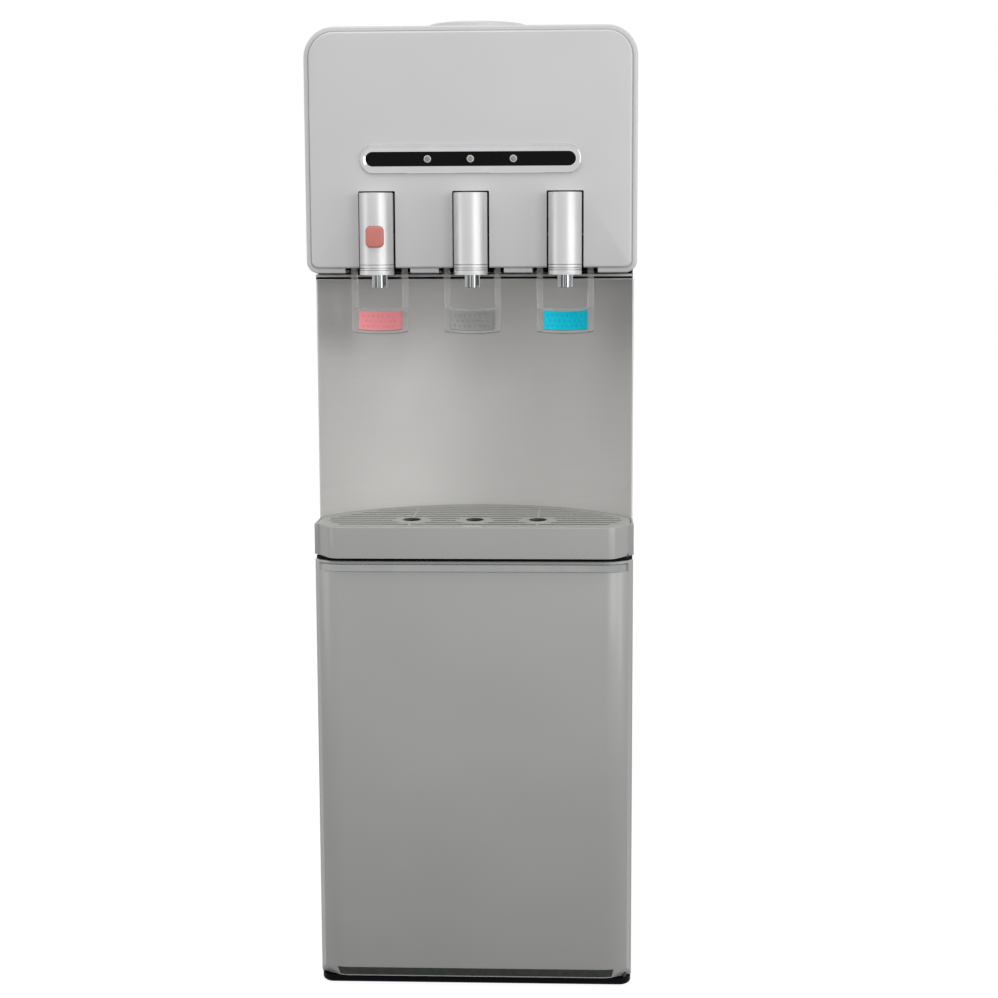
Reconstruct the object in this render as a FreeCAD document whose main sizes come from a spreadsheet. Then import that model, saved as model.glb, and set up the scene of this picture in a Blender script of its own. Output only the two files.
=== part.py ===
import FreeCAD, Part
import math
import os

import Sketcher

# A floor-standing water dispenser with three taps over a drip tray and a storage cabinet below.
# The front faces -Y and +X is the viewer's right. The origin is on the floor, under the middle
# of the whole object. Depths are measured back from the face, the front plane of the head.

SIZES = {
    # General thicknesses and gaps
    "sheet": 1.0,
    "wall": 2.5,
    "fit_gap": 0.3,
    "pin_gap": 0.05,
    "ear_gap": 0.5,
    # Case
    "case_width": 309.0,
    "case_depth": 300.0,
    "panel_flange": 12.0,
    "panel_lap": 6.8,
    "screw_inset": 7.2,
    "screw_margin": 28.3,
    "floor_gap": 2.0,
    "plinth_edge": 8.0,
    "plinth_rise": 14.0,
    "plinth_floor": 5.0,
    "plinth_set_back": 10.0,
    "plinth_corner": 12.0,
    "foot_radius": 11.0,
    "foot_taper": 0.9,
    "foot_inset": 30.0,
    "foot_sink": 2.5,
    # Door
    "door_overhang": 0.5,
    "door_height": 421.3,
    "door_thickness": 22.0,
    "door_floor_gap": 1.0,
    "door_back_gap": 2.0,
    "door_cant_width": 15.0,
    "door_cant_depth": 8.5,
    "door_side_rim": 5.0,
    "door_side_depth": 17.0,
    "bevel_height": 11.0,
    "bevel_depth": 7.0,
    "bevel_blend": 4.0,
    "door_top_rim": 2.5,
    "door_heel": 4.0,
    "strip_height": 8.0,
    "strip_depth": 1.5,
    "strip_thickness": 1.0,
    "hinge_inset": 7.0,
    "hinge_pin_radius": 2.5,
    "hinge_pin_reach": 16.0,
    "hinge_boss": 20.0,
    "hinge_boss_radius": 4.4,
    # Drip tray
    "tray_overhang": 1.1,
    "tray_front": 8.5,
    "tray_gap": 4.1,
    "tray_height": 30.8,
    "tray_cant_width": 15.5,
    "tray_cant_depth": 26.0,
    "tray_wall": 3.0,
    "tray_floor": 2.0,
    "pan_wall": 1.6,
    "grille_thickness": 3.0,
    "grille_margin": 9.0,
    "slot_width": 5.0,
    "slot_pitch": 13.0,
    "first_slot": 10.0,
    "slot_rib": 5.0,
    "drain_hole_radius": 8.5,
    "drain_boss_radius": 20.0,
    "drain_pitch": 62.0,
    "drain_depth": 38.7,
    "tab_width": 18.0,
    "tab_depth": 4.0,
    "tab_height": 1.0,
    # Bay
    "bay_front": 62.6,
    "bay_sagitta": 88.2,
    "bay_height": 241.9,
    "bay_sheet": 1.5,
    "bay_edge": 2.0,
    "bay_top_gap": 8.8,
    "lip_height": 7.0,
    # Head
    "head_overhang": 2.25,
    "head_height": 229.4,
    "head_top_corner": 29.0,
    "head_low_corner": 11.5,
    "rim_depth": 6.0,
    "rim_width": 6.0,
    "rim_foot": 4.9,
    "plate_edge": 3.5,
    "plate_wall": 3.0,
    "notch_width": 62.0,
    "notch_depth": 38.0,
    "skirt_height": 34.0,
    # Bottle seat
    "bottle_depth": 143.0,
    "dome_radius": 75.0,
    "dome_top_radius": 66.0,
    "dome_height": 5.0,
    "collar_radius": 50.0,
    "collar_wall": 5.0,
    "collar_round": 2.0,
    "collar_flange": 58.0,
    "collar_height": 9.0,
    "neck_radius": 29.0,
    "neck_length": 34.0,
    "funnel_wall": 3.0,
    "funnel_seat": 6.0,
    # Indicator
    "indicator_rise": 106.6,
    "bezel_length": 208.0,
    "bezel_height": 27.0,
    "bezel_proud": 2.6,
    "bezel_spigot": 6.0,
    "bezel_step": 1.0,
    "bezel_land": 2.5,
    "window_length": 198.0,
    "window_height": 13.6,
    "window_sink": 1.2,
    "window_thickness": 2.0,
    "lens_radius": 3.4,
    "lens_pitch": 40.4,
    "board_thickness": 1.6,
    # Taps
    "tap_pitch": 88.9,
    "barrel_width": 31.3,
    "barrel_out": 23.3,
    "barrel_drop": 1.4,
    "barrel_height": 76.6,
    "barrel_wall": 2.0,
    "barrel_slot_gap": 1.75,
    "barrel_flange": 6.0,
    "groove_pitch": 3.4,
    "groove_depth": 0.5,
    "groove_width": 0.7,
    "button_width": 17.0,
    "button_height": 20.0,
    "button_corner": 4.0,
    "button_proud": 3.0,
    "button_rise": 36.4,
    "button_depth": 7.5,
    "button_edge": 1.2,
    "button_collar": 2.0,
    "valve_depth": 20.0,
    "valve_radius": 9.5,
    "valve_rise": 3.9,
    "valve_seat": 3.0,
    "valve_bore": 4.5,
    "chamber_radius": 6.0,
    "chamber_height": 19.0,
    "guide_height": 4.0,
    "spring_bore": 7.6,
    "spring_room": 29.0,
    "valve_cap": 3.0,
    "window_room": 1.2,
    "inlet_radius": 5.0,
    "inlet_bore": 3.0,
    "inlet_length": 32.0,
    "inlet_rise": 10.0,
    "spout_radius": 7.5,
    "spout_drop": 13.8,
    "flute_radius": 1.1,
    "stem_radius": 2.0,
    "seal_radius": 5.4,
    "seal_thickness": 3.0,
    "stem_collar_radius": 7.0,
    "stem_collar": 3.0,
    "spring_wire": 0.5,
    "spring_radius": 6.2,
    "button_spring_radius": 4.0,
    # Levers
    "pivot_depth": 10.5,
    "pivot_rise": 36.9,
    "pivot_pin_radius": 1.5,
    "pivot_boss_radius": 4.0,
    "lever_width": 54.5,
    "lever_rail": 6.0,
    "lever_thickness": 4.0,
    "lever_foot_depth": 25.0,
    "paddle_drop": 33.1,
    "paddle_height": 24.0,
    "paddle_tilt": 17.0,
    "paddle_hollow": 6.0,
    "paddle_thickness": 3.0,
    "pad_width": 42.0,
    "pad_height": 18.5,
    "pad_thickness": 1.4,
    "finger_radius": 1.5,
    "finger_drop": 0.8,
    "finger_reach": 3.5,
    "bracket_thickness": 2.5,
    "bracket_depth": 34.0,
    "bracket_rise": 6.9,
    "bracket_height": 46.0,
    "ear_thickness": 3.0,
    "bracket_overhang": 16.0,
    "post_radius": 4.0,
    # Cabinet
    "liner_flange": 11.0,
    "liner_wall": 2.5,
    "liner_compressor_gap": 13.0,
    "liner_back_gap": 18.0,
    "liner_step_height": 205.0,
    # Tanks
    "cold_tank_radius": 58.0,
    "cold_tank_height": 185.0,
    "foam_thickness": 20.0,
    "hot_tank_radius": 48.0,
    "hot_tank_height": 165.0,
    "hot_tank_stand": 30.0,
    "hot_tank_skirt": 40.0,
    "outlet_inset": 20.0,
    "supply_depth": 180.0,
    "tube_bend": 12.0,
    "drain_bend": 8.0,
    "drain_back_gap": 9.5,
    "drain_end": 6.0,
    "tank_clearance": 9.0,
    "tank_wall": 1.5,
    "tank_gap": 1.0,
    # Cooling
    "compressor_radius": 52.0,
    "compressor_height": 150.0,
    "compressor_back_gap": 13.0,
    "compressor_shift": 45.0,
    "compressor_crown": 18.0,
    "compressor_seam": 3.0,
    "compressor_plate": 46.0,
    "grommet_radius": 8.0,
    "relay_width": 16.0,
    "rear_panel_foot": 204.0,
    "condenser_tube_radius": 2.4,
    "condenser_wire_radius": 0.8,
    "condenser_stand_off": 9.0,
    "condenser_margin": 34.5,
    "condenser_foot": 260.0,
    "condenser_pitch": 40.0,
    "condenser_lead": 120.0,
    "condenser_joint": 200.0,
    "lead_bend": 6.0,
    "condenser_shift": 45.0,
    "stand_off_radius": 3.0,
    "wire_margin": 12.0,
    # Rear fittings
    "switch_height": 740.0,
    "switch_inset": 42.5,
    "switch_depth": 20.0,
    "switch_width": 13.0,
    "switch_length": 19.0,
    "switch_pitch": 24.0,
    "switch_tilt": 9.0,
    "switch_plate": 2.0,
    "rocker_half": 8.3,
    "rocker_front": 3.5,
    "rocker_back": 3.0,
    "rocker_sink": 1.0,
    "rocker_pin": 1.0,
    "gland_height": 228.0,
    "gland_radius": 8.0,
    "gland_neck": 6.0,
    "gland_bore": 3.5,
    "gland_length": 9.0,
    "plug_radius": 7.5,
    "plug_stem": 6.0,
    "plug_head": 3.0,
    "screw_radius": 1.6,
    "screw_head_radius": 3.5,
    "screw_head": 1.6,
    "screw_length": 6.0,
    "louvre_side": 90.0,
    "louvre_drop": 111.0,
    "louvre_length": 60.0,
    "louvre_width": 4.0,
    "louvre_pitch": 11.0,
}
TAPS = ("hot", "normal", "cold")
SLOT_ROWS = 10
LOUVRES = 7
CONDENSER_RUNS = 10
CONDENSER_WIRES = 19
SPOUT_FLUTES = 12
SPRING_TURNS = 6

# A round end is drawn just short of a full half circle, so that it keeps a short flat.
ROUND_END = 0.98

doc = FreeCAD.newDocument("water_dispenser")
sheet = doc.addObject("Spreadsheet::Sheet", "sizes")
for row, (word, number) in enumerate(SIZES.items(), 1):
    sheet.set(f"A{row}", word)
    sheet.set(f"B{row}", str(number))
    sheet.setAlias(f"B{row}", word)
doc.recompute()


class Size:
    """A number together with the sheet expression that gives it."""

    def __init__(self, number, text):
        self.number = number
        self.text = text

    def __add__(self, other):
        return joined(self, other, "+", lambda a, b: a + b)

    def __radd__(self, other):
        return joined(other, self, "+", lambda a, b: a + b)

    def __sub__(self, other):
        return joined(self, other, "-", lambda a, b: a - b)

    def __rsub__(self, other):
        return joined(other, self, "-", lambda a, b: a - b)

    def __mul__(self, other):
        return joined(self, other, "*", lambda a, b: a * b)

    def __rmul__(self, other):
        return joined(other, self, "*", lambda a, b: a * b)

    def __truediv__(self, other):
        return joined(self, other, "/", lambda a, b: a / b)

    def __neg__(self):
        return Size(-self.number, f"(-1 * {self.text})")


def as_size(value):
    """Lets a plain number stand where a size is wanted."""
    return value if isinstance(value, Size) else Size(float(value), f"({value})")


def joined(left, right, sign, work):
    left, right = as_size(left), as_size(right)
    return Size(work(left.number, right.number), f"({left.text} {sign} {right.text})")


def root(value):
    return Size(math.sqrt(value.number), f"sqrt({value.text})")


def size(word):
    return Size(float(sheet.get(word)), f"sizes.{word}")


def bind(thing, place, value):
    """Ties one property of an object to the sheet."""
    thing.setExpression(place, as_size(value).text)


# Round and square solids

ALONG = {
    "x": FreeCAD.Rotation(FreeCAD.Vector(0, 1, 0), 90),
    "y": FreeCAD.Rotation(FreeCAD.Vector(1, 0, 0), -90),
    "z": FreeCAD.Rotation(),
}


def block(x_span, y_span, z_span):
    """A rectangular block between two places along each axis."""
    made = doc.addObject("Part::Box", "block")
    for side, axis, span in zip(("Length", "Width", "Height"), "xyz", (x_span, y_span, z_span)):
        bind(made, side, span[1] - span[0])
        bind(made, f"Placement.Base.{axis}", span[0])
    return made


def rod(axis, across, span, radius, end_radius=None):
    """A round bar or a cone along an axis. across holds its other two coordinates, in x, y, z order."""
    kind = "Part::Cylinder" if end_radius is None else "Part::Cone"
    made = doc.addObject(kind, "rod")
    made.Placement = FreeCAD.Placement(FreeCAD.Vector(), ALONG[axis])
    places = dict(zip([other for other in "xyz" if other != axis], across))
    places[axis] = span[0]
    for other, place in places.items():
        bind(made, f"Placement.Base.{other}", place)
    bind(made, "Height", span[1] - span[0])
    if end_radius is None:
        bind(made, "Radius", radius)
    else:
        bind(made, "Radius1", radius)
        bind(made, "Radius2", end_radius)
    return made


def fused(*things):
    made = doc.addObject("Part::MultiFuse", "fused")
    made.Shapes = list(things)
    return made


def cut(base, *tools):
    made = doc.addObject("Part::Cut", "cut")
    made.Base = base
    made.Tool = tools[0] if len(tools) == 1 else fused(*tools)
    return made


def shared(*things):
    made = doc.addObject("Part::MultiCommon", "shared")
    made.Shapes = list(things)
    return made


def group(*things):
    """Separate solids that make one sub-part, such as a set of screws."""
    made = doc.addObject("Part::Compound", "group")
    made.Links = list(things)
    return made


# Sketched bodies

PLANES = {"top": "XY_Plane", "front": "XZ_Plane", "side": "YZ_Plane"}


def new_body():
    return doc.addObject("PartDesign::Body", "body")


def new_sketch(body, plane, away, shift=(0, 0)):
    """A sketch parallel to a plane, at a place along that plane's axis, with its origin shifted."""
    made = body.newObject("Sketcher::SketchObject", "sketch")
    origin = [feature for feature in body.Origin.OriginFeatures if feature.Role == PLANES[plane]]
    made.AttachmentSupport = [(origin[0], "")]
    made.MapMode = "FlatFace"
    bind(made, "AttachmentOffset.Base.x", shift[0])
    bind(made, "AttachmentOffset.Base.y", shift[1])
    bind(made, "AttachmentOffset.Base.z", -as_size(away) if plane == "front" else away)
    return made


def draw(sketch, corners):
    """A closed outline through corners (across, up) or (across, up, rounding), fully constrained."""
    spots = [FreeCAD.Vector(as_size(c[0]).number, as_size(c[1]).number, 0) for c in corners]
    rounds = [as_size(c[2]) if len(c) > 2 else None for c in corners]
    count = len(corners)
    starts = []
    ends = []
    for here in range(count):
        back = (spots[here - 1] - spots[here]).normalize()
        ahead = (spots[(here + 1) % count] - spots[here]).normalize()
        reach = 0
        if rounds[here]:
            reach = rounds[here].number / math.tan(back.getAngle(ahead) / 2)
        ends.append(spots[here] + back * reach)
        starts.append(spots[here] + ahead * reach)
    lines = [
        sketch.addGeometry(Part.LineSegment(starts[here], ends[(here + 1) % count]), False)
        for here in range(count)
    ]
    for here in range(count):
        before, after = lines[here - 1], lines[here]
        across, up = as_size(corners[here][0]), as_size(corners[here][1])
        if rounds[here]:
            mark, end = sketch.addGeometry(Part.Point(spots[here]), True), 1
            sketch.addConstraint(Sketcher.Constraint("PointOnObject", mark, 1, before))
            sketch.addConstraint(Sketcher.Constraint("PointOnObject", mark, 1, after))
            middle = spots[here] + (starts[here] + ends[here] - spots[here] * 2).normalize() * (
                ((starts[here] - spots[here]).Length ** 2 + rounds[here].number ** 2) ** 0.5
                - rounds[here].number
            )
            bend = sketch.addGeometry(Part.Arc(ends[here], middle, starts[here]), False)
            curve = sketch.Geometry[bend]
            first = 1 if curve.StartPoint.distanceToPoint(ends[here]) < 1e-6 else 2
            sketch.addConstraint(Sketcher.Constraint("Tangent", before, 2, bend, first))
            sketch.addConstraint(Sketcher.Constraint("Tangent", after, 1, bend, 3 - first))
            held = sketch.addConstraint(Sketcher.Constraint("Radius", bend, rounds[here].number))
            bind(sketch, f"Constraints[{held}]", rounds[here])
        else:
            mark, end = after, 1
            sketch.addConstraint(Sketcher.Constraint("Coincident", before, 2, after, 1))
        for way, value in (("DistanceX", across), ("DistanceY", up)):
            held = sketch.addConstraint(Sketcher.Constraint(way, -1, 1, mark, end, value.number))
            bind(sketch, f"Constraints[{held}]", value)


def extruded(body, plane, span, outlines, shift=(0, 0)):
    """Adds the material inside the outlines, over a span along the plane's axis."""
    sketch = new_sketch(body, plane, span[1] if plane == "front" else span[0], shift)
    for outline in outlines:
        draw(sketch, outline)
    made = body.newObject("PartDesign::Pad", "pad")
    made.Profile = sketch
    bind(made, "Length", span[1] - span[0])
    return made


def hollowed(body, plane, span, outlines, shift=(0, 0)):
    """Takes away the material inside the outlines, over a span, and checks that it did."""
    doc.recompute()
    before = body.Shape.Volume
    sketch = new_sketch(body, plane, span[0] if plane == "front" else span[1], shift)
    for outline in outlines:
        draw(sketch, outline)
    made = body.newObject("PartDesign::Pocket", "pocket")
    made.Profile = sketch
    bind(made, "Length", span[1] - span[0])
    doc.recompute()
    if not body.Shape.Volume < before:
        raise RuntimeError(f"a pocket of {body.Label} cut nothing")
    return made


def turned(body, centre, outline):
    """Turns an outline of (radius, height) corners about an upright axis."""
    sketch = new_sketch(body, "front", centre[1], (centre[0], 0))
    draw(sketch, outline)
    made = body.newObject("PartDesign::Revolution", "revolution")
    made.Profile = sketch
    made.ReferenceAxis = (sketch, ["V_Axis"])
    made.Angle = 360
    return made


def rounded_edges(body, base, radius, wanted):
    """Rounds the edges of a body's feature that the test wanted picks by their two ends."""
    doc.recompute()
    names = [
        f"Edge{place}"
        for place, edge in enumerate(base.Shape.Edges, 1)
        if all(wanted(vertex.Point) for vertex in edge.Vertexes)
    ]
    made = body.newObject("PartDesign::Fillet", "fillet")
    made.Base = (base, names)
    bind(made, "Radius", radius)
    return made


def rectangle(left, right, low, high, rounding=None):
    corners = [(left, low), (right, low), (right, high), (left, high)]
    if rounding is None:
        return corners
    return [corner + (rounding,) for corner in corners]


pieces = []


def finished(name, thing):
    """Gives a sub-part its own name and keeps it for the files."""
    thing.Label = name
    pieces.append(thing)
    return thing


# Depths and heights that the pieces share

barrel_front = size("barrel_out") + size("button_proud")
condenser_back = (
    size("case_depth")
    + size("condenser_stand_off")
    + size("condenser_tube_radius")
    + size("pin_gap")
    + 2 * size("condenser_wire_radius")
)
face = (barrel_front - condenser_back) / 2


def depth(value):
    """A place along Y, from its distance behind the head's face."""
    return face + value


plinth_low = size("floor_gap")
plinth_top = plinth_low + size("plinth_edge")
door_low = plinth_top + size("door_floor_gap")
door_top = door_low + size("door_height")
door_back = depth(size("door_thickness"))
cabinet_front = door_back + size("door_back_gap")
tray_low = door_top + size("tray_gap")
tray_top = tray_low + size("tray_height")
bay_front = depth(size("bay_front"))
bay_top = tray_top + size("bay_height")
head_top = bay_top + size("head_height")
case_back = depth(size("case_depth"))
case_side = size("case_width") / 2
inner_side = case_side - size("sheet")
liner_side = inner_side - size("fit_gap")
cover_low = head_top - size("skirt_height")
panel_top = cover_low + size("panel_lap")

# The bay is a hollow of round plan: its radius follows from its chord and its depth.
bay_side = liner_side - size("bay_edge")
bay_radius = (bay_side * bay_side + size("bay_sagitta") * size("bay_sagitta")) / (
    2 * size("bay_sagitta")
)
bay_centre = bay_front + size("bay_sagitta") - bay_radius
tap_places = {tap: (place - 1) * size("tap_pitch") for place, tap in enumerate(TAPS)}

# Base: a moulded tray with an upright rim that the side panels are screwed to, on four feet

plinth_front = depth(size("plinth_set_back"))
plinth = new_body()
extruded(
    plinth,
    "top",
    (plinth_low, plinth_top),
    [
        [
            (-inner_side, plinth_front, size("plinth_corner")),
            (inner_side, plinth_front, size("plinth_corner")),
            (inner_side, case_back),
            (-inner_side, case_back),
        ]
    ],
)
rim_front = cabinet_front + size("wall")
rim_back = case_back - size("sheet") * 2
extruded(
    plinth,
    "top",
    (plinth_top, plinth_top + size("plinth_rise")),
    [rectangle(-liner_side, liner_side, rim_front, rim_back)],
)
hollowed(
    plinth,
    "top",
    (plinth_low + size("plinth_floor"), plinth_top + size("plinth_rise")),
    [
        rectangle(
            size("wall") - liner_side,
            liner_side - size("wall"),
            rim_front + size("wall"),
            rim_back - size("wall"),
        )
    ],
)
foot_side = inner_side - size("foot_inset")
foot_places = [
    (side * foot_side, place)
    for side in (-1, 1)
    for place in (plinth_front + size("foot_inset"), case_back - size("foot_inset"))
]
foot_top = plinth_low + size("foot_sink")
foot_tip = size("foot_radius") - size("foot_taper")
door_half = case_side + size("door_overhang")
hinge_side = door_half - size("hinge_inset")
hinge_depth = door_back - size("hinge_inset")
pin_low = plinth_low + size("wall")
low_pin = rod(
    "z", (hinge_side, hinge_depth), (pin_low, door_low + size("hinge_pin_reach")),
    size("hinge_pin_radius"),
)
finished(
    "base_plinth",
    cut(
        plinth,
        low_pin,
        *[rod("z", place, (plinth_low, foot_top), size("foot_radius")) for place in foot_places],
    ),
)
finished(
    "rubber_feet",
    group(
        *[
            fused(
                rod("z", place, (0, plinth_low), foot_tip, size("foot_radius")),
                rod("z", place, (plinth_low, foot_top), size("foot_radius")),
            )
            for place in foot_places
        ]
    ),
)

# Side panels: bent sheet, deeper beside the door than beside the bay, with a flange at the back


screw_side = case_side - size("screw_inset")
screw_rows = [
    size("rear_panel_foot") + size("screw_margin"),
    (size("rear_panel_foot") + panel_top) / 2,
    panel_top - size("screw_margin"),
]


def screw_holes(side, span):
    """The holes for the screws down one side of the back."""
    return [rod("y", (side * screw_side, row), span, size("screw_radius")) for row in screw_rows]


def side_panel(name, side):
    body = new_body()
    outer = side * case_side
    inner = side * inner_side
    low, high = sorted((outer, inner), key=lambda place: place.number)
    step = tray_low - size("tray_gap") / 2
    extruded(
        body,
        "side",
        (low, high),
        [
            [
                (cabinet_front, door_low),
                (case_back - size("sheet"), door_low),
                (case_back - size("sheet"), panel_top),
                (bay_front, panel_top),
                (bay_front, step),
                (cabinet_front, step),
            ]
        ],
    )
    fold = side * (case_side - size("panel_flange"))
    low, high = sorted((outer, fold), key=lambda place: place.number)
    extruded(
        body,
        "top",
        (door_low, panel_top),
        [rectangle(low, high, case_back - 2 * size("sheet"), case_back - size("sheet"))],
    )
    flange = (case_back - 2 * size("sheet"), case_back - size("sheet"))
    return finished(name, cut(body, *screw_holes(side, flange)))


side_panel("left_side_panel", -1)
side_panel("right_side_panel", 1)

# Back: a flat sheet over the upper part, with air slots, open behind the compressor

rear = new_body()
extruded(
    rear,
    "front",
    (case_back - size("sheet"), case_back),
    [rectangle(-liner_side, liner_side, size("rear_panel_foot"), panel_top)],
)
louvre_low = panel_top - size("louvre_drop")
hollowed(
    rear,
    "front",
    (case_back - size("sheet"), case_back),
    [
        rectangle(
            middle - size("louvre_length") / 2,
            middle + size("louvre_length") / 2,
            louvre_low + place * size("louvre_pitch"),
            louvre_low + place * size("louvre_pitch") + size("louvre_width"),
        )
        for middle in (-1 * size("louvre_side"), size("louvre_side"))
        for place in range(LOUVRES)
    ],
)
switch_middle = case_side - size("switch_inset")
switch_centres = {
    "hot": size("switch_height") + size("switch_pitch") / 2,
    "cold": size("switch_height") - size("switch_pitch") / 2,
}
housing_width = size("switch_width") + 2 * size("wall")
housing_height = size("switch_length") + size("switch_pitch") + 2 * size("wall")
switch_hole = rectangle(
    switch_middle - housing_width / 2 + size("wall") / 2,
    switch_middle + housing_width / 2 - size("wall") / 2,
    size("switch_height") - housing_height / 2 + size("wall") / 2,
    size("switch_height") + housing_height / 2 - size("wall") / 2,
)
hollowed(rear, "front", (case_back - size("sheet"), case_back), [switch_hole])
gland_place = (-1 * switch_middle, size("gland_height"))
drain_place = (0, size("gland_height"))
finished(
    "rear_panel",
    cut(
        rear,
        rod("y", gland_place, (case_back - size("sheet"), case_back), size("gland_neck")),
        rod("y", drain_place, (case_back - size("sheet"), case_back), size("inlet_radius")),
        *screw_holes(-1, (case_back - size("sheet"), case_back)),
        *screw_holes(1, (case_back - size("sheet"), case_back)),
    ),
)

# Lid of the head: a moulded cover with a low dome, in which the bottle stands

head_side = case_side + size("head_overhang")
cover_wall = head_side - case_side - size("fit_gap")
bottle_place = (0, depth(size("bottle_depth")))
dome_top = head_top + size("dome_height")
collar_bore = size("collar_radius") - size("collar_wall")
seat_bore = collar_bore - size("funnel_seat")
cover = new_body()
extruded(
    cover,
    "front",
    (bay_front, case_back + size("fit_gap") + cover_wall),
    [
        [
            (-head_side, cover_low),
            (head_side, cover_low),
            (head_side, head_top, size("head_top_corner")),
            (-head_side, head_top, size("head_top_corner")),
        ]
    ],
)
cover_side = case_side + size("fit_gap")
cover_corner = size("head_top_corner") - cover_wall
hollowed(
    cover,
    "front",
    (bay_front, case_back + size("fit_gap")),
    [
        [
            (-cover_side, cover_low - size("wall")),
            (cover_side, cover_low - size("wall")),
            (cover_side, head_top - size("wall"), cover_corner),
            (-cover_side, head_top - size("wall"), cover_corner),
        ]
    ],
)
finished(
    "top_cover",
    cut(
        fused(
            cover,
            rod(
                "z", bottle_place, (head_top, dome_top),
                size("dome_radius"), size("dome_top_radius"),
            ),
        ),
        rod("z", bottle_place, (head_top - 2 * size("wall"), dome_top), seat_bore),
    ),
)
collar = new_body()
collar_top = dome_top + size("collar_height")
turned(
    collar,
    bottle_place,
    [
        (collar_bore, dome_top),
        (size("collar_flange"), dome_top),
        (size("collar_flange"), dome_top + size("wall") / 2),
        (size("collar_radius"), dome_top + size("wall")),
        (size("collar_radius"), collar_top, size("collar_round")),
        (collar_bore, collar_top, size("collar_round")),
    ],
)
finished("bottle_collar", collar)
neck_top = dome_top + size("funnel_wall") - 2 * size("funnel_seat")
neck_low = neck_top - size("neck_length")
neck_outer = size("neck_radius") + size("funnel_wall")
funnel = new_body()
turned(
    funnel,
    bottle_place,
    [
        (size("neck_radius"), neck_low),
        (neck_outer, neck_low),
        (neck_outer, neck_top - size("funnel_wall")),
        (seat_bore - size("fit_gap"), dome_top - size("funnel_wall")),
        (seat_bore - size("fit_gap"), dome_top),
        (collar_bore - size("fit_gap"), dome_top),
        (collar_bore - size("fit_gap"), dome_top + size("funnel_wall") / 2),
        (seat_bore, dome_top + size("funnel_wall") / 2),
        (size("neck_radius"), neck_top),
    ],
)
finished("bottle_funnel", funnel)

# Head front: a deep moulding with a rim, a raised plate, tap slots and a notched lip

plate_face = face
rim_face = depth(size("rim_depth"))
plate_side = head_side - size("rim_width")
plate_low = bay_top + size("rim_foot")
plate_high = head_top - size("rim_width")
plate_inner = face + size("plate_wall")


def head_outline(inset_side, low, high, inset):
    """The head's shape from the front, drawn in by an inset."""
    return [
        (-inset_side, low, size("head_low_corner") - inset),
        (inset_side, low, size("head_low_corner") - inset),
        (inset_side, high, size("head_top_corner") - inset),
        (-inset_side, high, size("head_top_corner") - inset),
    ]


head = new_body()
extruded(head, "front", (rim_face, bay_front), [head_outline(head_side, bay_top, head_top, 0)])
plate = extruded(
    head,
    "front",
    (plate_face, rim_face),
    [head_outline(plate_side, plate_low, plate_high, size("rim_width"))],
)
rounded_edges(
    head,
    plate,
    size("plate_edge"),
    lambda point: abs(point.y - plate_face.number) < 0.01,
)
hollowed(
    head,
    "front",
    (rim_face + size("wall"), bay_front),
    [
        head_outline(
            head_side - size("wall"), bay_top + size("wall"), head_top - size("wall"), size("wall")
        )
    ],
)
hollowed(
    head,
    "front",
    (plate_inner, rim_face + size("wall")),
    [
        head_outline(
            plate_side - size("plate_wall"),
            plate_low + size("plate_wall"),
            plate_high - size("plate_wall"),
            size("rim_width") + size("plate_wall"),
        )
    ],
)
barrel_half = size("barrel_width") / 2
barrel_low = bay_top - size("barrel_drop")
barrel_top = barrel_low + size("barrel_height")
slot_half = barrel_half + size("barrel_slot_gap")
hollowed(
    head,
    "front",
    (plate_face, rim_face + size("wall")),
    [
        rectangle(
            middle - slot_half,
            middle + slot_half,
            bay_top - size("wall"),
            barrel_top + size("barrel_slot_gap"),
        )
        for middle in tap_places.values()
    ],
)
hollowed(
    head,
    "front",
    (plate_face, depth(size("notch_depth"))),
    [
        rectangle(
            middle - size("notch_width") / 2,
            middle + size("notch_width") / 2,
            bay_top - size("wall"),
            plate_low,
        )
        for middle in tap_places.values()
    ],
)


def stadium(length, height, middle):
    """A long outline with round ends."""
    half = height / 2
    return rectangle(-length / 2, length / 2, middle - half, middle + half, half * ROUND_END)


indicator_middle = bay_top + size("indicator_rise")
spigot_length = size("bezel_length") - 3 * size("wall")
spigot_height = size("bezel_height") - 3 * size("wall")
hollowed(
    head, "front", (plate_face, plate_inner), [stadium(spigot_length, spigot_height, indicator_middle)]
)
ear_inner = size("lever_width") / 2 + size("ear_gap")
ear_outer = ear_inner + size("ear_thickness")
bracket_side = size("tap_pitch") + ear_outer + size("bracket_overhang")
bracket_low = bay_top + size("bracket_rise")
bracket_high = bracket_low + size("bracket_height")
bracket_front = depth(size("bracket_depth"))
post_places = [
    (side * (bracket_side - 2 * size("post_radius")), (bracket_low + bracket_high) / 2)
    for side in (-1, 1)
]
post_screws = [
    rod("y", place, (bracket_front - size("screw_length"), bracket_front), size("screw_radius"))
    for place in post_places
]
finished(
    "head_front",
    cut(
        fused(
            head,
            *[
                rod("y", place, (plate_inner, bracket_front), size("post_radius"))
                for place in post_places
            ],
        ),
        *post_screws,
    ),
)

# Underside of the head: a shelf that carries the cold tank, with a thin lip over the bay

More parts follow.
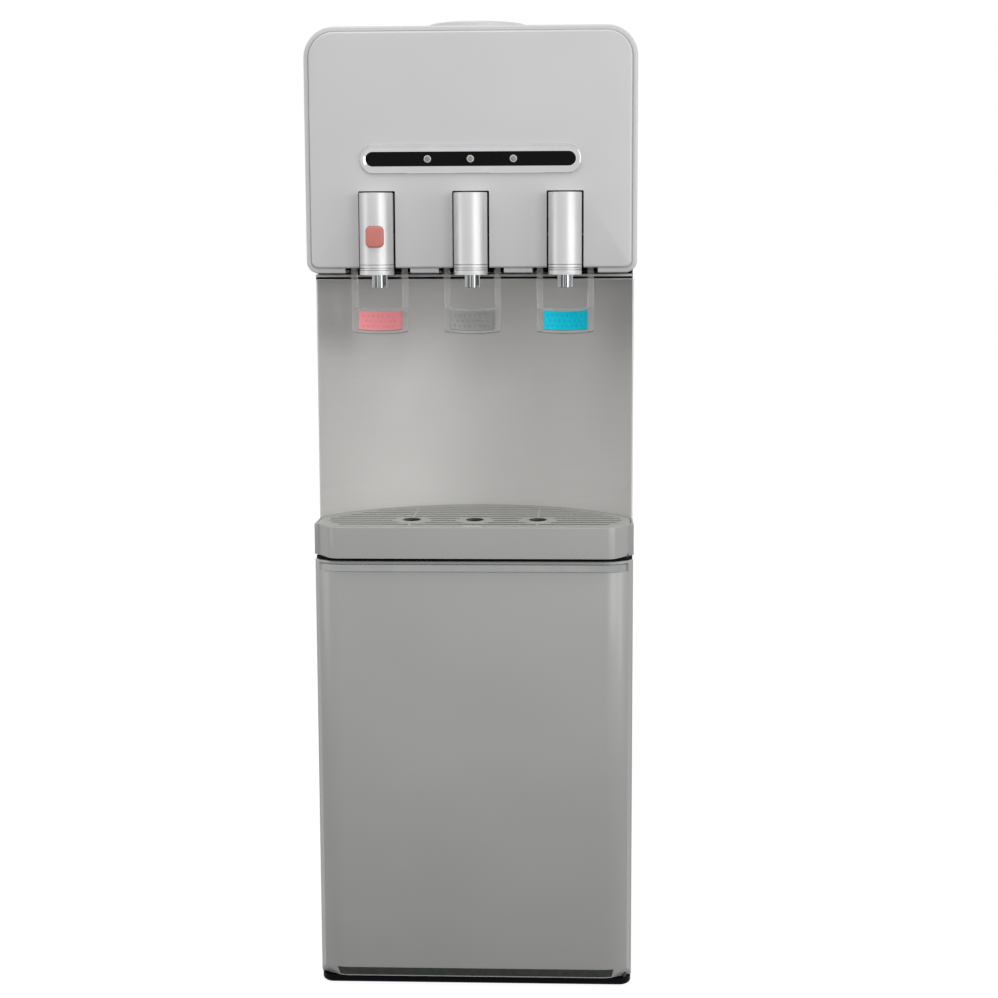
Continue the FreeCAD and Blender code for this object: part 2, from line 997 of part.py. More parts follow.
shelf_low = bay_top - size("lip_height")
shelf_top = shelf_low + size("wall")
shelf_front = depth(size("notch_depth")) + size("wall")
shelf_back = case_back - 2 * size("sheet")
hot_depth = depth(size("bay_front") + size("bay_sagitta") + size("bay_sheet")) + (
    size("tank_clearance") + size("hot_tank_radius")
)
hot_fall = (-1 * size("tap_pitch"), hot_depth)
supply_fall = (0, depth(size("supply_depth")))
finished(
    "head_floor",
    cut(
        fused(
            block((-liner_side, liner_side), (shelf_front, shelf_back), (shelf_low, shelf_top)),
            block(
                (-liner_side, liner_side),
                (shelf_front, shelf_front + size("wall")),
                (shelf_low, bay_top - size("fit_gap")),
            ),
        ),
        rod("z", hot_fall, (shelf_low, shelf_top), size("inlet_radius")),
        rod("z", supply_fall, (shelf_low, shelf_top), size("inlet_radius")),
    ),
)

# Indicator: a bright frame, a black window, three small lenses and the board behind them

bezel_face = plate_face - size("bezel_proud")
bezel_step = bezel_face + size("bezel_step")
bezel = new_body()
ring = extruded(
    bezel,
    "front",
    (bezel_face, plate_face),
    [stadium(size("bezel_length"), size("bezel_height"), indicator_middle)],
)
extruded(
    bezel,
    "front",
    (plate_face, plate_face + size("bezel_spigot")),
    [
        stadium(
            spigot_length - 2 * size("pin_gap"), spigot_height - 2 * size("pin_gap"), indicator_middle
        )
    ],
)
hollowed(
    bezel,
    "front",
    (bezel_face, bezel_step),
    [
        stadium(
            size("window_length") + 2 * size("bezel_land"),
            size("window_height") + 2 * size("bezel_land"),
            indicator_middle,
        )
    ],
)
hollowed(
    bezel,
    "front",
    (bezel_face, plate_face + size("bezel_spigot")),
    [stadium(size("window_length"), size("window_height"), indicator_middle)],
)
finished("indicator_bezel", bezel)
window_face = plate_face - size("window_sink")
window_back = window_face + size("window_thickness")
board_face = plate_face + size("bezel_spigot")
window = new_body()
extruded(
    window,
    "front",
    (window_face, window_back),
    [stadium(size("window_length"), size("window_height"), indicator_middle)],
)
lens_places = [(place * size("lens_pitch"), indicator_middle) for place in (-1, 0, 1)]
finished(
    "indicator_window",
    cut(
        window,
        *[rod("y", place, (window_face, window_back), size("lens_radius")) for place in lens_places],
    ),
)
finished(
    "indicator_lenses",
    group(
        *[
            rod("y", place, (window_face - size("fit_gap"), board_face), size("lens_radius"))
            for place in lens_places
        ]
    ),
)
board = new_body()
extruded(
    board,
    "front",
    (board_face, board_face + size("board_thickness")),
    [
        rectangle(
            -spigot_length / 2,
            spigot_length / 2,
            indicator_middle - spigot_height / 2,
            indicator_middle + spigot_height / 2,
        )
    ],
)
finished("indicator_board", board)

# Barrels: the silver covers of the taps, round in front, clipped into the plate from behind


def barrel_outline(inset):
    """The barrel's plan, drawn in by an inset, round in front and straight behind."""
    half = barrel_half - inset
    front = depth(inset - size("barrel_out"))
    return [
        (-half, front, half * ROUND_END),
        (half, front, half * ROUND_END),
        (half, plate_inner),
        (-half, plate_inner),
    ]


button_middle = bay_top + size("button_rise")
groove_low = barrel_low + size("barrel_wall")
for tap, middle in tap_places.items():
    barrel = new_body()
    extruded(barrel, "top", (barrel_low, barrel_top), [barrel_outline(0)], (middle, 0))
    hollowed(
        barrel,
        "top",
        (barrel_low + size("barrel_wall"), barrel_top - size("barrel_wall")),
        [barrel_outline(size("barrel_wall"))],
        (middle, 0),
    )
    flange_half = slot_half + size("barrel_flange")
    extruded(
        barrel,
        "front",
        (plate_inner, plate_inner + size("barrel_wall")),
        [
            rectangle(
                -flange_half,
                flange_half,
                plate_low + size("plate_wall") + size("fit_gap"),
                barrel_top + size("barrel_flange"),
            )
        ],
        (middle, 0),
    )
    around = rectangle(
        -2 * barrel_half, 2 * barrel_half, depth(-2 * size("barrel_out")), plate_inner + size("fit_gap")
    )
    for place in range(3):
        groove = groove_low + place * size("groove_pitch")
        hollowed(
            barrel,
            "top",
            (groove, groove + size("groove_width")),
            [around, barrel_outline(size("groove_depth"))],
            (middle, 0),
        )
    if tap == "hot":
        hollowed(
            barrel,
            "front",
            (depth(-size("barrel_out")), depth(size("button_depth") - size("barrel_out"))),
            [
                rectangle(
                    -size("button_width") / 2 - size("fit_gap"),
                    size("button_width") / 2 + size("fit_gap"),
                    button_middle - size("button_height") / 2 - size("fit_gap"),
                    button_middle + size("button_height") / 2 + size("fit_gap"),
                    size("button_corner") + size("fit_gap"),
                )
            ],
            (middle, 0),
        )
    finished(f"{tap}_tap_cover", barrel)

# Child lock: a button through the hot barrel, kept in by its collar, with a spring behind

button_face = depth(-size("barrel_out") - size("button_proud"))
button_back = depth(size("button_depth") - size("barrel_out"))
hot_middle = tap_places["hot"]
button = new_body()
cap = extruded(
    button,
    "front",
    (button_face, button_back),
    [
        rectangle(
            -size("button_width") / 2,
            size("button_width") / 2,
            button_middle - size("button_height") / 2,
            button_middle + size("button_height") / 2,
            size("button_corner"),
        )
    ],
    (hot_middle, 0),
)
rounded_edges(
    button, cap, size("button_edge"), lambda point: abs(point.y - button_face.number) < 0.01
)
extruded(
    button,
    "front",
    (button_back, button_back + size("button_collar")),
    [
        rectangle(
            -size("button_width") / 2 - size("button_collar"),
            size("button_width") / 2 + size("button_collar"),
            button_middle - size("button_height") / 2 - size("button_collar"),
            button_middle + size("button_height") / 2 + size("button_collar"),
        )
    ],
    (hot_middle, 0),
)
finished("child_lock_button", button)

# Springs, tubes and coils follow a path of straight lines and round arcs


def arc_between(start, corner, end):
    """A round arc that leaves its start and reaches its end along the lines to the corner."""
    middle = (start + end) / 2
    half_turn = math.atan2((corner - middle).Length, (start - middle).Length)
    crown = middle + (corner - middle) * (math.tan(half_turn / 2) / math.tan(half_turn))
    return Part.Arc(start, crown, end).toShape()


def swept(path, start, heading, radius):
    """A round bar along a path of joined edges."""
    ring = Part.Wire(Part.makeCircle(radius, start, heading))
    return Part.Wire(path).makePipeShell([ring], True, False)


def bent_bar(points, bend, radius):
    """A round bar along straight lines with every corner bent to one radius."""
    spots = [FreeCAD.Vector(*[as_size(place).number for place in point]) for point in points]
    path = []
    start = spots[0]
    for before, corner, after in zip(spots, spots[1:], spots[2:]):
        back = (before - corner).normalize()
        ahead = (after - corner).normalize()
        reach = bend.number / math.tan(back.getAngle(ahead) / 2)
        if start.distanceToPoint(corner + back * reach) > 0.001:
            path.append(Part.LineSegment(start, corner + back * reach).toShape())
        path.append(arc_between(corner + back * reach, corner, corner + ahead * reach))
        start = corner + ahead * reach
    path.append(Part.LineSegment(start, spots[-1]).toShape())
    return swept(path, spots[0], spots[1] - spots[0], radius.number)


def held_shape(shape, base=(0, 0, 0), turn=FreeCAD.Rotation()):
    """An object for a shape that has no feature of its own."""
    made = doc.addObject("Part::Feature", "shape")
    made.Shape = shape
    made.Placement = FreeCAD.Placement(
        FreeCAD.Vector(*[as_size(place).number for place in base]), turn
    )
    return made


def bent_tube(points, bend):
    """A water tube along straight lines with rounded bends."""
    outside = bent_bar(points, bend, size("inlet_radius"))
    return held_shape(outside.cut(bent_bar(points, bend, size("inlet_bore"))))


def coil(radius, wire, length):
    """An upright spring of round wire, made of two arcs for each quarter turn."""
    rise = length.number - 2 * wire.number
    steps = 4 * SPRING_TURNS
    spots = []
    headings = []
    for step in range(steps + 1):
        turn = step * math.pi / 2
        spots.append(
            FreeCAD.Vector(
                radius.number * math.cos(turn),
                radius.number * math.sin(turn),
                wire.number + rise * step / steps,
            )
        )
        climb = rise / steps / (math.pi / 2)
        headings.append(
            FreeCAD.Vector(
                -radius.number * math.sin(turn), radius.number * math.cos(turn), climb
            ).normalize()
        )
    path = []
    for start, end, leave, reach in zip(spots, spots[1:], headings, headings[1:]):
        chord = end - start
        along = chord.dot(leave + reach)
        spread = 2 * (1 - leave.dot(reach))
        arm = (math.sqrt(along * along + spread * chord.dot(chord)) - along) / spread
        joint = (start + end + (leave - reach) * arm) / 2
        path.append(arc_between(start, start + leave * arm, joint))
        path.append(arc_between(joint, end - reach * arm, end))
    print(f"least gap between turns: {rise / SPRING_TURNS - 2 * wire.number:.2f} mm")
    return swept(path, spots[0], headings[0], wire.number)


button_spring_front = button_back + size("button_collar") + size("pin_gap")
finished(
    "child_lock_spring",
    held_shape(
        coil(
            size("button_spring_radius"),
            size("spring_wire"),
            plate_inner - size("pin_gap") - button_spring_front,
        ),
        (hot_middle, button_spring_front, button_middle),
        ALONG["y"],
    ),
)

# Taps: a fluted spout, a valve body with an inlet, and a sprung stem that the lever lifts

spout_low = bay_top - size("spout_drop")
valve_low = bay_top + size("valve_rise")
seat_top = valve_low + size("valve_seat")
guide_low = seat_top + size("chamber_height")
guide_top = guide_low + size("guide_height")
cap_low = guide_top + size("spring_room")
valve_top = cap_low + size("valve_cap")
stem_bore = size("stem_radius") + size("pin_gap")
valve_middle = depth(size("valve_depth"))
inlet_height = valve_low + size("inlet_rise")
inlet_end = valve_middle + size("inlet_length")
pivot_place = (depth(size("pivot_depth")), bay_top + size("pivot_rise"))
finger_place = (valve_middle, pivot_place[1] - size("finger_drop"))
collar_low = finger_place[1] + size("finger_radius") + size("fit_gap")
stem_collar_top = collar_low + size("stem_collar")
for tap, middle in tap_places.items():
    spot = (middle, valve_middle)
    flutes = [
        rod(
            "z",
            (
                middle + size("spout_radius") * math.cos(turn * 2 * math.pi / SPOUT_FLUTES),
                valve_middle + size("spout_radius") * math.sin(turn * 2 * math.pi / SPOUT_FLUTES),
            ),
            (spout_low, barrel_low),
            size("flute_radius"),
        )
        for turn in range(SPOUT_FLUTES)
    ]
    finished(
        f"{tap}_spout",
        cut(
            rod("z", spot, (spout_low, valve_low), size("spout_radius")),
            rod("z", spot, (spout_low, valve_low), size("valve_bore")),
            *flutes,
        ),
    )
    valve = new_body()
    turned(
        valve,
        spot,
        [
            (size("valve_bore"), valve_low),
            (size("valve_radius"), valve_low),
            (size("valve_radius"), valve_top),
            (stem_bore, valve_top),
            (stem_bore, cap_low),
            (size("spring_bore"), cap_low),
            (size("spring_bore"), guide_top),
            (stem_bore, guide_top),
            (stem_bore, guide_low),
            (size("chamber_radius"), guide_low),
            (size("chamber_radius"), seat_top),
            (size("valve_bore"), seat_top),
        ],
    )
    stub_start = valve_middle + (size("chamber_radius") + size("valve_radius")) / 2
    finished(
        f"{tap}_valve_body",
        cut(
            fused(
                valve,
                rod("y", (middle, inlet_height), (stub_start, inlet_end), size("inlet_radius")),
            ),
            rod("y", (middle, inlet_height), (valve_middle, inlet_end), size("inlet_bore")),
            block(
                (middle - size("valve_radius"), middle + size("valve_radius")),
                (valve_middle - 2 * size("finger_radius"), valve_middle + 2 * size("finger_radius")),
                (
                    finger_place[1] - size("finger_radius") - size("window_room"),
                    stem_collar_top + size("window_room") / 2,
                ),
            ),
        ),
    )
    stem = new_body()
    seal_low = seat_top + size("fit_gap")
    turned(
        stem,
        spot,
        [
            (0, seal_low),
            (size("seal_radius"), seal_low),
            (size("seal_radius"), seal_low + size("seal_thickness")),
            (size("stem_radius"), seal_low + size("seal_thickness")),
            (size("stem_radius"), collar_low),
            (size("stem_collar_radius"), collar_low),
            (size("stem_collar_radius"), stem_collar_top),
            (size("stem_radius"), stem_collar_top),
            (size("stem_radius"), cap_low + size("valve_cap") / 2),
            (0, cap_low + size("valve_cap") / 2),
        ],
    )
    finished(f"{tap}_valve_stem", stem)
    finished(
        f"{tap}_valve_spring",
        held_shape(
            coil(
                size("spring_radius"),
                size("spring_wire"),
                cap_low - stem_collar_top - 2 * size("pin_gap"),
            ),
            (middle, valve_middle, stem_collar_top + size("pin_gap")),
        ),
    )

# Levers: clear moulded stirrups with a hollow paddle below, turning on short pins

paddle_place = (depth(size("lever_foot_depth")), bay_top - size("paddle_drop"))
tilt = math.radians(SIZES["paddle_tilt"])
paddle_foot = (
    paddle_place[0] - size("paddle_height") * math.sin(tilt),
    paddle_place[1] - size("paddle_height") * math.cos(tilt),
)
rail_outer = size("lever_width") / 2
rail_inner = rail_outer - size("lever_rail")
rail_half = size("lever_thickness") / 2
paddle_radius = (rail_outer * rail_outer + size("paddle_hollow") * size("paddle_hollow")) / (
    2 * size("paddle_hollow")
)
paddle_centre = size("paddle_hollow") - rail_half - paddle_radius


def paddle_layer(middle, half_width, inner, outer, low, high):
    """A curved layer of the paddle, tilted about its upper edge."""
    layer = shared(
        cut(
            rod("z", (0, paddle_centre), (low, high), outer),
            rod("z", (0, paddle_centre), (low, high), inner),
        ),
        block(
            (-half_width, half_width),
            (paddle_centre, paddle_centre + outer),
            (low, high),
        ),
    )
    layer.Placement = FreeCAD.Placement(
        FreeCAD.Vector(), FreeCAD.Rotation(FreeCAD.Vector(1, 0, 0), -SIZES["paddle_tilt"])
    )
    bind(layer, "Placement.Rotation.Angle", -size("paddle_tilt"))
    for axis, place in zip("xyz", (middle, *paddle_place)):
        bind(layer, f"Placement.Base.{axis}", place)
    return layer


for tap, middle in tap_places.items():
    rails = []
    fingers = []
    for side in (-1, 1):
        low, high = sorted(
            (middle + side * rail_inner, middle + side * rail_outer), key=lambda place: place.number
        )
        rail = new_body()
        extruded(
            rail,
            "side",
            (low, high),
            [
                [
                    (pivot_place[0] - rail_half, pivot_place[1]),
                    (paddle_place[0] - rail_half, paddle_place[1]),
                    (paddle_foot[0] - rail_half, paddle_foot[1]),
                    (paddle_foot[0] + rail_half, paddle_foot[1]),
                    (paddle_place[0] + rail_half, paddle_place[1]),
                    (pivot_place[0] + rail_half, pivot_place[1]),
                ]
            ],
        )
        rails.append(rail)
        rails.append(rod("x", pivot_place, (low, high), size("pivot_boss_radius")))
        rails.append(
            block(
                (low, high),
                (pivot_place[0], finger_place[0] + size("finger_radius")),
                (finger_place[1] - rail_half, finger_place[1] + rail_half),
            )
        )
        low, high = sorted(
            (middle + side * size("finger_reach"), middle + side * (rail_inner + size("fit_gap"))),
            key=lambda place: place.number,
        )
        fingers.append(rod("x", finger_place, (low, high), size("finger_radius")))
    finished(
        f"{tap}_lever",
        cut(
            fused(
                *rails,
                *fingers,
                paddle_layer(
                    middle,
                    rail_outer - size("fit_gap"),
                    paddle_radius,
                    paddle_radius + size("paddle_thickness"),
                    -size("paddle_height"),
                    as_size(0),
                ),
            ),
            rod(
                "x",
                pivot_place,
                (middle - rail_outer, middle + rail_outer),
                size("pivot_pin_radius") + size("pin_gap"),
            ),
        ),
    )
    pad_margin = (size("paddle_height") - size("pad_height")) / 2
    finished(
        f"{tap}_lever_pad",
        paddle_layer(
            middle,
            size("pad_width") / 2,
            paddle_radius - size("pad_thickness"),
            paddle_radius,
            pad_margin - size("paddle_height"),
            -pad_margin,
        ),
    )

# Bracket: a bent plate behind the taps, with two ears for each lever and the pins in them

bracket_back = bracket_front + size("bracket_thickness")
ears = []
pins = []
for middle in tap_places.values():
    for side in (-1, 1):
        low, high = sorted(
            (middle + side * ear_inner, middle + side * ear_outer), key=lambda place: place.number
        )
        ears.append(
            block(
                (low, high),
                (pivot_place[0] - size("pivot_boss_radius"), bracket_front),
                (
                    pivot_place[1] - size("pivot_boss_radius"),
                    pivot_place[1] + size("pivot_boss_radius"),
                ),
            )
        )
        low, high = sorted(
            (middle + side * (rail_inner - size("fit_gap")), middle + side * ear_outer),
            key=lambda place: place.number,
        )
        pins.append((pivot_place, (low, high), size("pivot_pin_radius")))
finished(
    "tap_bracket",
    cut(
        fused(
            block(
                (-bracket_side, bracket_side),
                (bracket_front, bracket_back),
                (bracket_low, bracket_high),
            ),
            *ears,
        ),
        *[rod("x", *pin) for pin in pins],
        *[
            rod("y", (middle, inlet_height), (bracket_front, bracket_back), size("inlet_radius"))
            for middle in tap_places.values()
        ],
        *[
            rod("y", place, (bracket_front, bracket_back), size("screw_radius"))
            for place in post_places
        ],
    ),
)
finished("lever_pivot_pins", group(*[rod("x", *pin) for pin in pins]))

# Bay: a sheet bent to a round plan, with a narrow flange down each side

panel_high = bay_top - size("bay_top_gap")
bay_spot = (0, bay_centre)
finished(
    "recess_panel",
    fused(
        shared(
            cut(
                rod("z", bay_spot, (tray_low, panel_high), bay_radius + size("bay_sheet")),
                rod("z", bay_spot, (tray_low, panel_high), bay_radius),
            ),
            block(
                (-liner_side, liner_side),
                (bay_front, bay_centre + bay_radius + size("bay_sheet")),
                (tray_low, panel_high),
            ),
        ),
        *[
            block(
                sorted((side * bay_side, side * liner_side), key=lambda place: place.number),
                (bay_front, bay_front + size("bay_sheet")),
                (tray_low, panel_high),
            )
            for side in (-1, 1)
        ],
    ),
)

# Drip tray: a housing with canted front corners, a loose pan and a slotted grille


def tray_plan(inset, low, high):
    """The tray's plan, drawn in by an inset: canted in front and round behind."""
    half = case_side + size("tray_overhang") - inset
    front = depth(-size("tray_front")) + inset
    body = new_body()
    extruded(
        body,
        "top",
        (low, high),
        [
            [
                (-half, bay_front + size("bay_sagitta")),
                (-half, front + size("tray_cant_depth")),
                (-half + size("tray_cant_width"), front),
                (half - size("tray_cant_width"), front),
                (half, front + size("tray_cant_depth")),
                (half, bay_front + size("bay_sagitta")),
            ]
        ],
    )
    return shared(body, rod("z", bay_spot, (low, high), bay_radius - size("fit_gap") - inset))


high_pin_top = tray_low + size("tray_floor")
high_pin = ((hinge_side, hinge_depth), (door_top - size("hinge_pin_reach"), high_pin_top))
finished(
    "tray_housing",
    cut(
        tray_plan(as_size(0), tray_low, tray_top),
        tray_plan(size("tray_wall"), high_pin_top, tray_top),
        rod("z", *high_pin, size("hinge_pin_radius")),
    ),
)
pan_inset = size("tray_wall") + size("fit_gap")
pan_low = high_pin_top + size("fit_gap")
grille_low = tray_top - size("grille_thickness")
pan_high = grille_low - size("fit_gap")
finished(
    "drip_pan",
    cut(
        tray_plan(pan_inset, pan_low, pan_high),
        tray_plan(pan_inset + size("pan_wall"), pan_low + size("pan_wall"), pan_high),
    ),
)
grille_span = (grille_low, tray_top)
drain_holes = [(place * size("drain_pitch"), depth(size("drain_depth"))) for place in (-1, 0, 1)]
slot_places = [depth(size("first_slot") + row * size("slot_pitch")) for row in range(SLOT_ROWS)]
slots = cut(
    shared(
        tray_plan(pan_inset + size("grille_margin"), *grille_span),
        fused(
            *[
                block(
                    (-case_side, case_side),
                    (place - size("slot_width") / 2, place + size("slot_width") / 2),
                    grille_span,
                )
                for place in slot_places
            ]
        ),
    ),
    *[rod("z", place, grille_span, size("drain_boss_radius")) for place in drain_holes],
    *[
        block(
            (
                side * size("drain_pitch") - size("slot_rib") / 2,
                side * size("drain_pitch") + size("slot_rib") / 2,
            ),
            (depth(0), bay_front + size("bay_sagitta")),
            grille_span,
        )
        for side in (-1, 1)
    ],
)
grille_front = depth(-size("tray_front")) + pan_inset
finished(
    "drip_grille",
    fused(
        cut(
            tray_plan(pan_inset, *grille_span),
            slots,
            *[rod("z", place, grille_span, size("drain_hole_radius")) for place in drain_holes],
        ),
        block(
            (-size("tab_width") / 2, size("tab_width") / 2),
            (grille_front, grille_front + size("tab_depth")),
            (tray_top, tray_top + size("tab_height")),
        ),
    ),
)

# Door: a moulded shell with canted sides and a bevel below, a back panel and a bright strip

strip_top = door_top - size("door_top_rim")
strip_low = strip_top - size("strip_height")
bevel_top = door_low + size("bevel_height")
panel_half = door_half - size("door_side_rim")
door_span = (door_low, door_top)
panel_span = (door_low + size("wall"), door_top - size("wall"))


def door_outline(inset, sink=0, blend=0):
    """The door's plan, canted in two steps at each side, drawn in by an inset."""
    half = door_half - inset
    front = face + inset + sink
    cant = front + size("door_cant_depth") - blend
    side = front + size("door_side_depth") - blend
    return [
        (-half, door_back),
        (-half, side),
        (size("door_side_rim") - half, cant),
        (size("door_side_rim") + size("door_cant_width") - half, front),
        (half - size("door_side_rim") - size("door_cant_width"), front),
        (half - size("door_side_rim"), cant),
        (half, side),
        (half, door_back),
    ]


def door_layer(inset, span, sink=0, blend=0):
    """The door's plan raised over a span of heights."""
    body = new_body()
    extruded(body, "top", span, [door_outline(inset, sink, blend)])
    return body


heel = block(
    (door_half - size("door_heel"), door_half),
    (door_back - size("door_heel"), door_back),
    door_span,
)
heel_spot = (door_half - size("door_heel"), door_back - size("door_heel"))
heel_round = cut(heel, rod("z", heel_spot, door_span, size("door_heel")))
bevel = new_body()
foot_sketch = new_sketch(bevel, "top", door_low)
draw(foot_sketch, door_outline(0, size("bevel_depth"), size("bevel_blend")))
brow_sketch = new_sketch(bevel, "top", bevel_top)
draw(brow_sketch, door_outline(0))
slope = bevel.newObject("PartDesign::AdditiveLoft", "slope")
slope.Profile = foot_sketch
slope.Sections = [brow_sketch]
slope.Ruled = True
below_bevel = cut(
    block((-door_half, door_half), (face, door_back), (door_low, bevel_top)), bevel
)
hollow = shared(
    fused(
        door_layer(size("wall"), (bevel_top, panel_span[1])),
        door_layer(
            size("wall"), (panel_span[0], bevel_top), size("bevel_depth"), size("bevel_blend")
        ),
    ),
    block((-panel_half, panel_half), (face, door_back), panel_span),
)
strip_block = block((-panel_half, panel_half), (face, door_back), (strip_low, strip_top))
strip_layers = [
    door_layer(inset, (strip_low, strip_top))
    for inset in (0, size("strip_depth") - size("strip_thickness"), size("strip_depth"))
]
hinge_spot = (hinge_side, hinge_depth)
boss_spans = [
    (door_low, door_low + size("hinge_boss")),
    (door_top - size("hinge_boss"), door_top),
]
bore_reach = size("hinge_pin_reach") + size("fit_gap")
bore_spans = [(door_low, door_low + bore_reach), (door_top - bore_reach, door_top)]
finished(
    "door_shell",
    cut(
        fused(
            cut(door_layer(0, door_span), hollow),
            *[rod("z", hinge_spot, span, size("hinge_boss_radius")) for span in boss_spans],
        ),
        heel_round,
        below_bevel,
        shared(cut(strip_layers[0], strip_layers[2]), strip_block),
        *[
            rod("z", hinge_spot, span, size("hinge_pin_radius") + size("pin_gap"))
            for span in bore_spans
        ],
    ),
)
finished(
    "door_back_panel",
    block((-panel_half, panel_half), (door_back - size("wall"), door_back), panel_span),
)
finished("door_trim_strip", shared(cut(strip_layers[1], strip_layers[2]), strip_block))
finished(
    "hinge_pins",
    group(
        rod("z", hinge_spot, (pin_low, door_low + size("hinge_pin_reach")), size("hinge_pin_radius")),
        rod("z", *high_pin, size("hinge_pin_radius")),
    ),
)

# Cabinet: one moulded box behind the door, stepped over the compressor, with a front flange

compressor_place = (
    size("compressor_shift"),
    case_back - size("compressor_back_gap") - size("compressor_radius"),
)
box_half = liner_side - size("liner_flange")
box_low = plinth_top + size("plinth_rise")
step_low = size("liner_step_height")
compressor_front = compressor_place[1] - size("compressor_radius")
low_back = compressor_front - size("liner_compressor_gap")
high_back = case_back - size("liner_back_gap")
liner_wall = size("liner_wall")
finished(
    "cabinet_liner",
    cut(
        fused(
            block(
                (-liner_side, liner_side),
                (cabinet_front, cabinet_front + liner_wall),
                (plinth_top + size("fit_gap"), tray_low),
            ),
            block((-box_half, box_half), (cabinet_front, low_back), (box_low, tray_low)),
            block((-box_half, box_half), (cabinet_front, high_back), (step_low, tray_low)),
        ),
        block(
            (liner_wall - box_half, box_half - liner_wall),
            (cabinet_front, low_back - liner_wall),
            (box_low + liner_wall, tray_low - liner_wall),
        ),
        block(
            (liner_wall - box_half, box_half - liner_wall),
            (cabinet_front, high_back - liner_wall),
            (step_low + liner_wall, tray_low - liner_wall),
        ),
    ),
)

# Tanks: a cold tank in foam under the bottle, and a hot tank on a skirt behind the bay

tank_top = neck_low - size("tank_gap")
tank_low = tank_top - size("cold_tank_height")
foam_top = neck_low + size("tank_clearance")
foam_radius = size("cold_tank_radius") + size("foam_thickness")
inlet_tube = size("inlet_radius")
cold_tank_wall = size("cold_tank_radius") - size("tank_wall")
normal_hole = ((0, inlet_height), (bottle_place[1] - foam_radius, bottle_place[1]), inlet_tube)
cold_hole = ((bottle_place[1], inlet_height), (as_size(0), foam_radius + inlet_tube), inlet_tube)
supply_hole = (supply_fall, (shelf_top, tank_low + size("tank_wall")), inlet_tube)
tank = new_body()
turned(
    tank,
    bottle_place,
    [
        (0, tank_low),
        (size("cold_tank_radius"), tank_low),
        (size("cold_tank_radius"), tank_top),
        (size("neck_radius"), tank_top),
        (size("neck_radius"), tank_top - size("tank_wall")),
        (cold_tank_wall, tank_top - size("tank_wall")),
        (cold_tank_wall, tank_low + size("tank_wall")),
        (0, tank_low + size("tank_wall")),
    ],
)
finished(
    "cold_tank",
    cut(tank, rod("y", *normal_hole), rod("x", *cold_hole), rod("z", *supply_hole)),
)
foam = new_body()
turned(
    foam,
    bottle_place,
    [
        (0, shelf_top),
        (foam_radius, shelf_top),
        (foam_radius, foam_top),
        (neck_outer + size("fit_gap"), foam_top),
        (neck_outer + size("fit_gap"), tank_top),
        (size("cold_tank_radius"), tank_top),
        (size("cold_tank_radius"), tank_low),
        (0, tank_low),
    ],
)
finished(
    "cold_tank_foam",
    cut(foam, rod("y", *normal_hole), rod("x", *cold_hole), rod("z", *supply_hole)),
)
hot_place = (0, hot_depth)
hot_low = tray_low + size("hot_tank_stand")
hot_top = hot_low + size("hot_tank_height")
hot_wall = size("hot_tank_radius") - size("tank_wall")
outlet_height = hot_top - size("outlet_inset")
drain_height = hot_low - size("hot_tank_stand") / 2
heater = new_body()
turned(
    heater,
    hot_place,
    [
        (0, hot_low),
        (size("hot_tank_radius"), hot_low),
        (size("hot_tank_radius"), hot_top),
        (0, hot_top),
        (0, hot_top - size("tank_wall")),
        (hot_wall, hot_top - size("tank_wall")),
        (hot_wall, hot_low + size("tank_wall")),
        (0, hot_low + size("tank_wall")),
    ],
)
finished(
    "hot_tank",
    cut(
        fused(
            heater,
            cut(
                rod("z", hot_place, (tray_low, hot_low), size("hot_tank_skirt")),
                rod("z", hot_place, (tray_low, hot_low), size("hot_tank_skirt") - size("tank_wall")),
            ),
        ),
        rod("x", (hot_depth, outlet_height), (-size("hot_tank_radius"), -hot_wall / 2), inlet_tube),
        rod("z", supply_fall, (hot_top - size("tank_wall"), hot_top), inlet_tube),
        rod("z", hot_place, (hot_low, hot_low + size("tank_wall")), inlet_tube),
        rod("y", (0, drain_height), (hot_depth, hot_depth + size("hot_tank_skirt")), inlet_tube),
    ),
)

# Water tubes: from the cold tank to two taps and the hot tank, from there to the third, and a drain

drain_back = case_back + size("drain_end")
drain_fall = case_back - size("drain_back_gap")
finished(
    "water_tubes",
    group(
        bent_tube(
            [(0, inlet_end, inlet_height), (0, bottle_place[1] - cold_tank_wall, inlet_height)],
            size("tube_bend"),
        ),
        bent_tube(
            [
                (size("tap_pitch"), inlet_end, inlet_height),
                (size("tap_pitch"), bottle_place[1], inlet_height),
                (cold_tank_wall, bottle_place[1], inlet_height),
            ],
            size("tube_bend"),
        ),
        bent_tube(
            [
                (-size("tap_pitch"), inlet_end, inlet_height),
                (-size("tap_pitch"), hot_depth, inlet_height),
                (-size("tap_pitch"), hot_depth, outlet_height),
                (-hot_wall, hot_depth, outlet_height),
            ],
            size("tube_bend"),
        ),
        bent_tube(
            [
                (*supply_fall, tank_low + size("tank_wall")),
                (*supply_fall, hot_top - size("tank_wall")),
            ],
            size("tube_bend"),
        ),
        bent_tube(
            [
                (*hot_place, hot_low + size("tank_wall")),
                (*hot_place, drain_height),
                (0, drain_fall, drain_height),
                (0, drain_fall, size("gland_height")),
                (0, drain_back, size("gland_height")),
            ],
            size("drain_bend"),
        ),
    ),
)

# Cooling: a welded compressor on grommets, and a tube condenser with wires on stand-offs

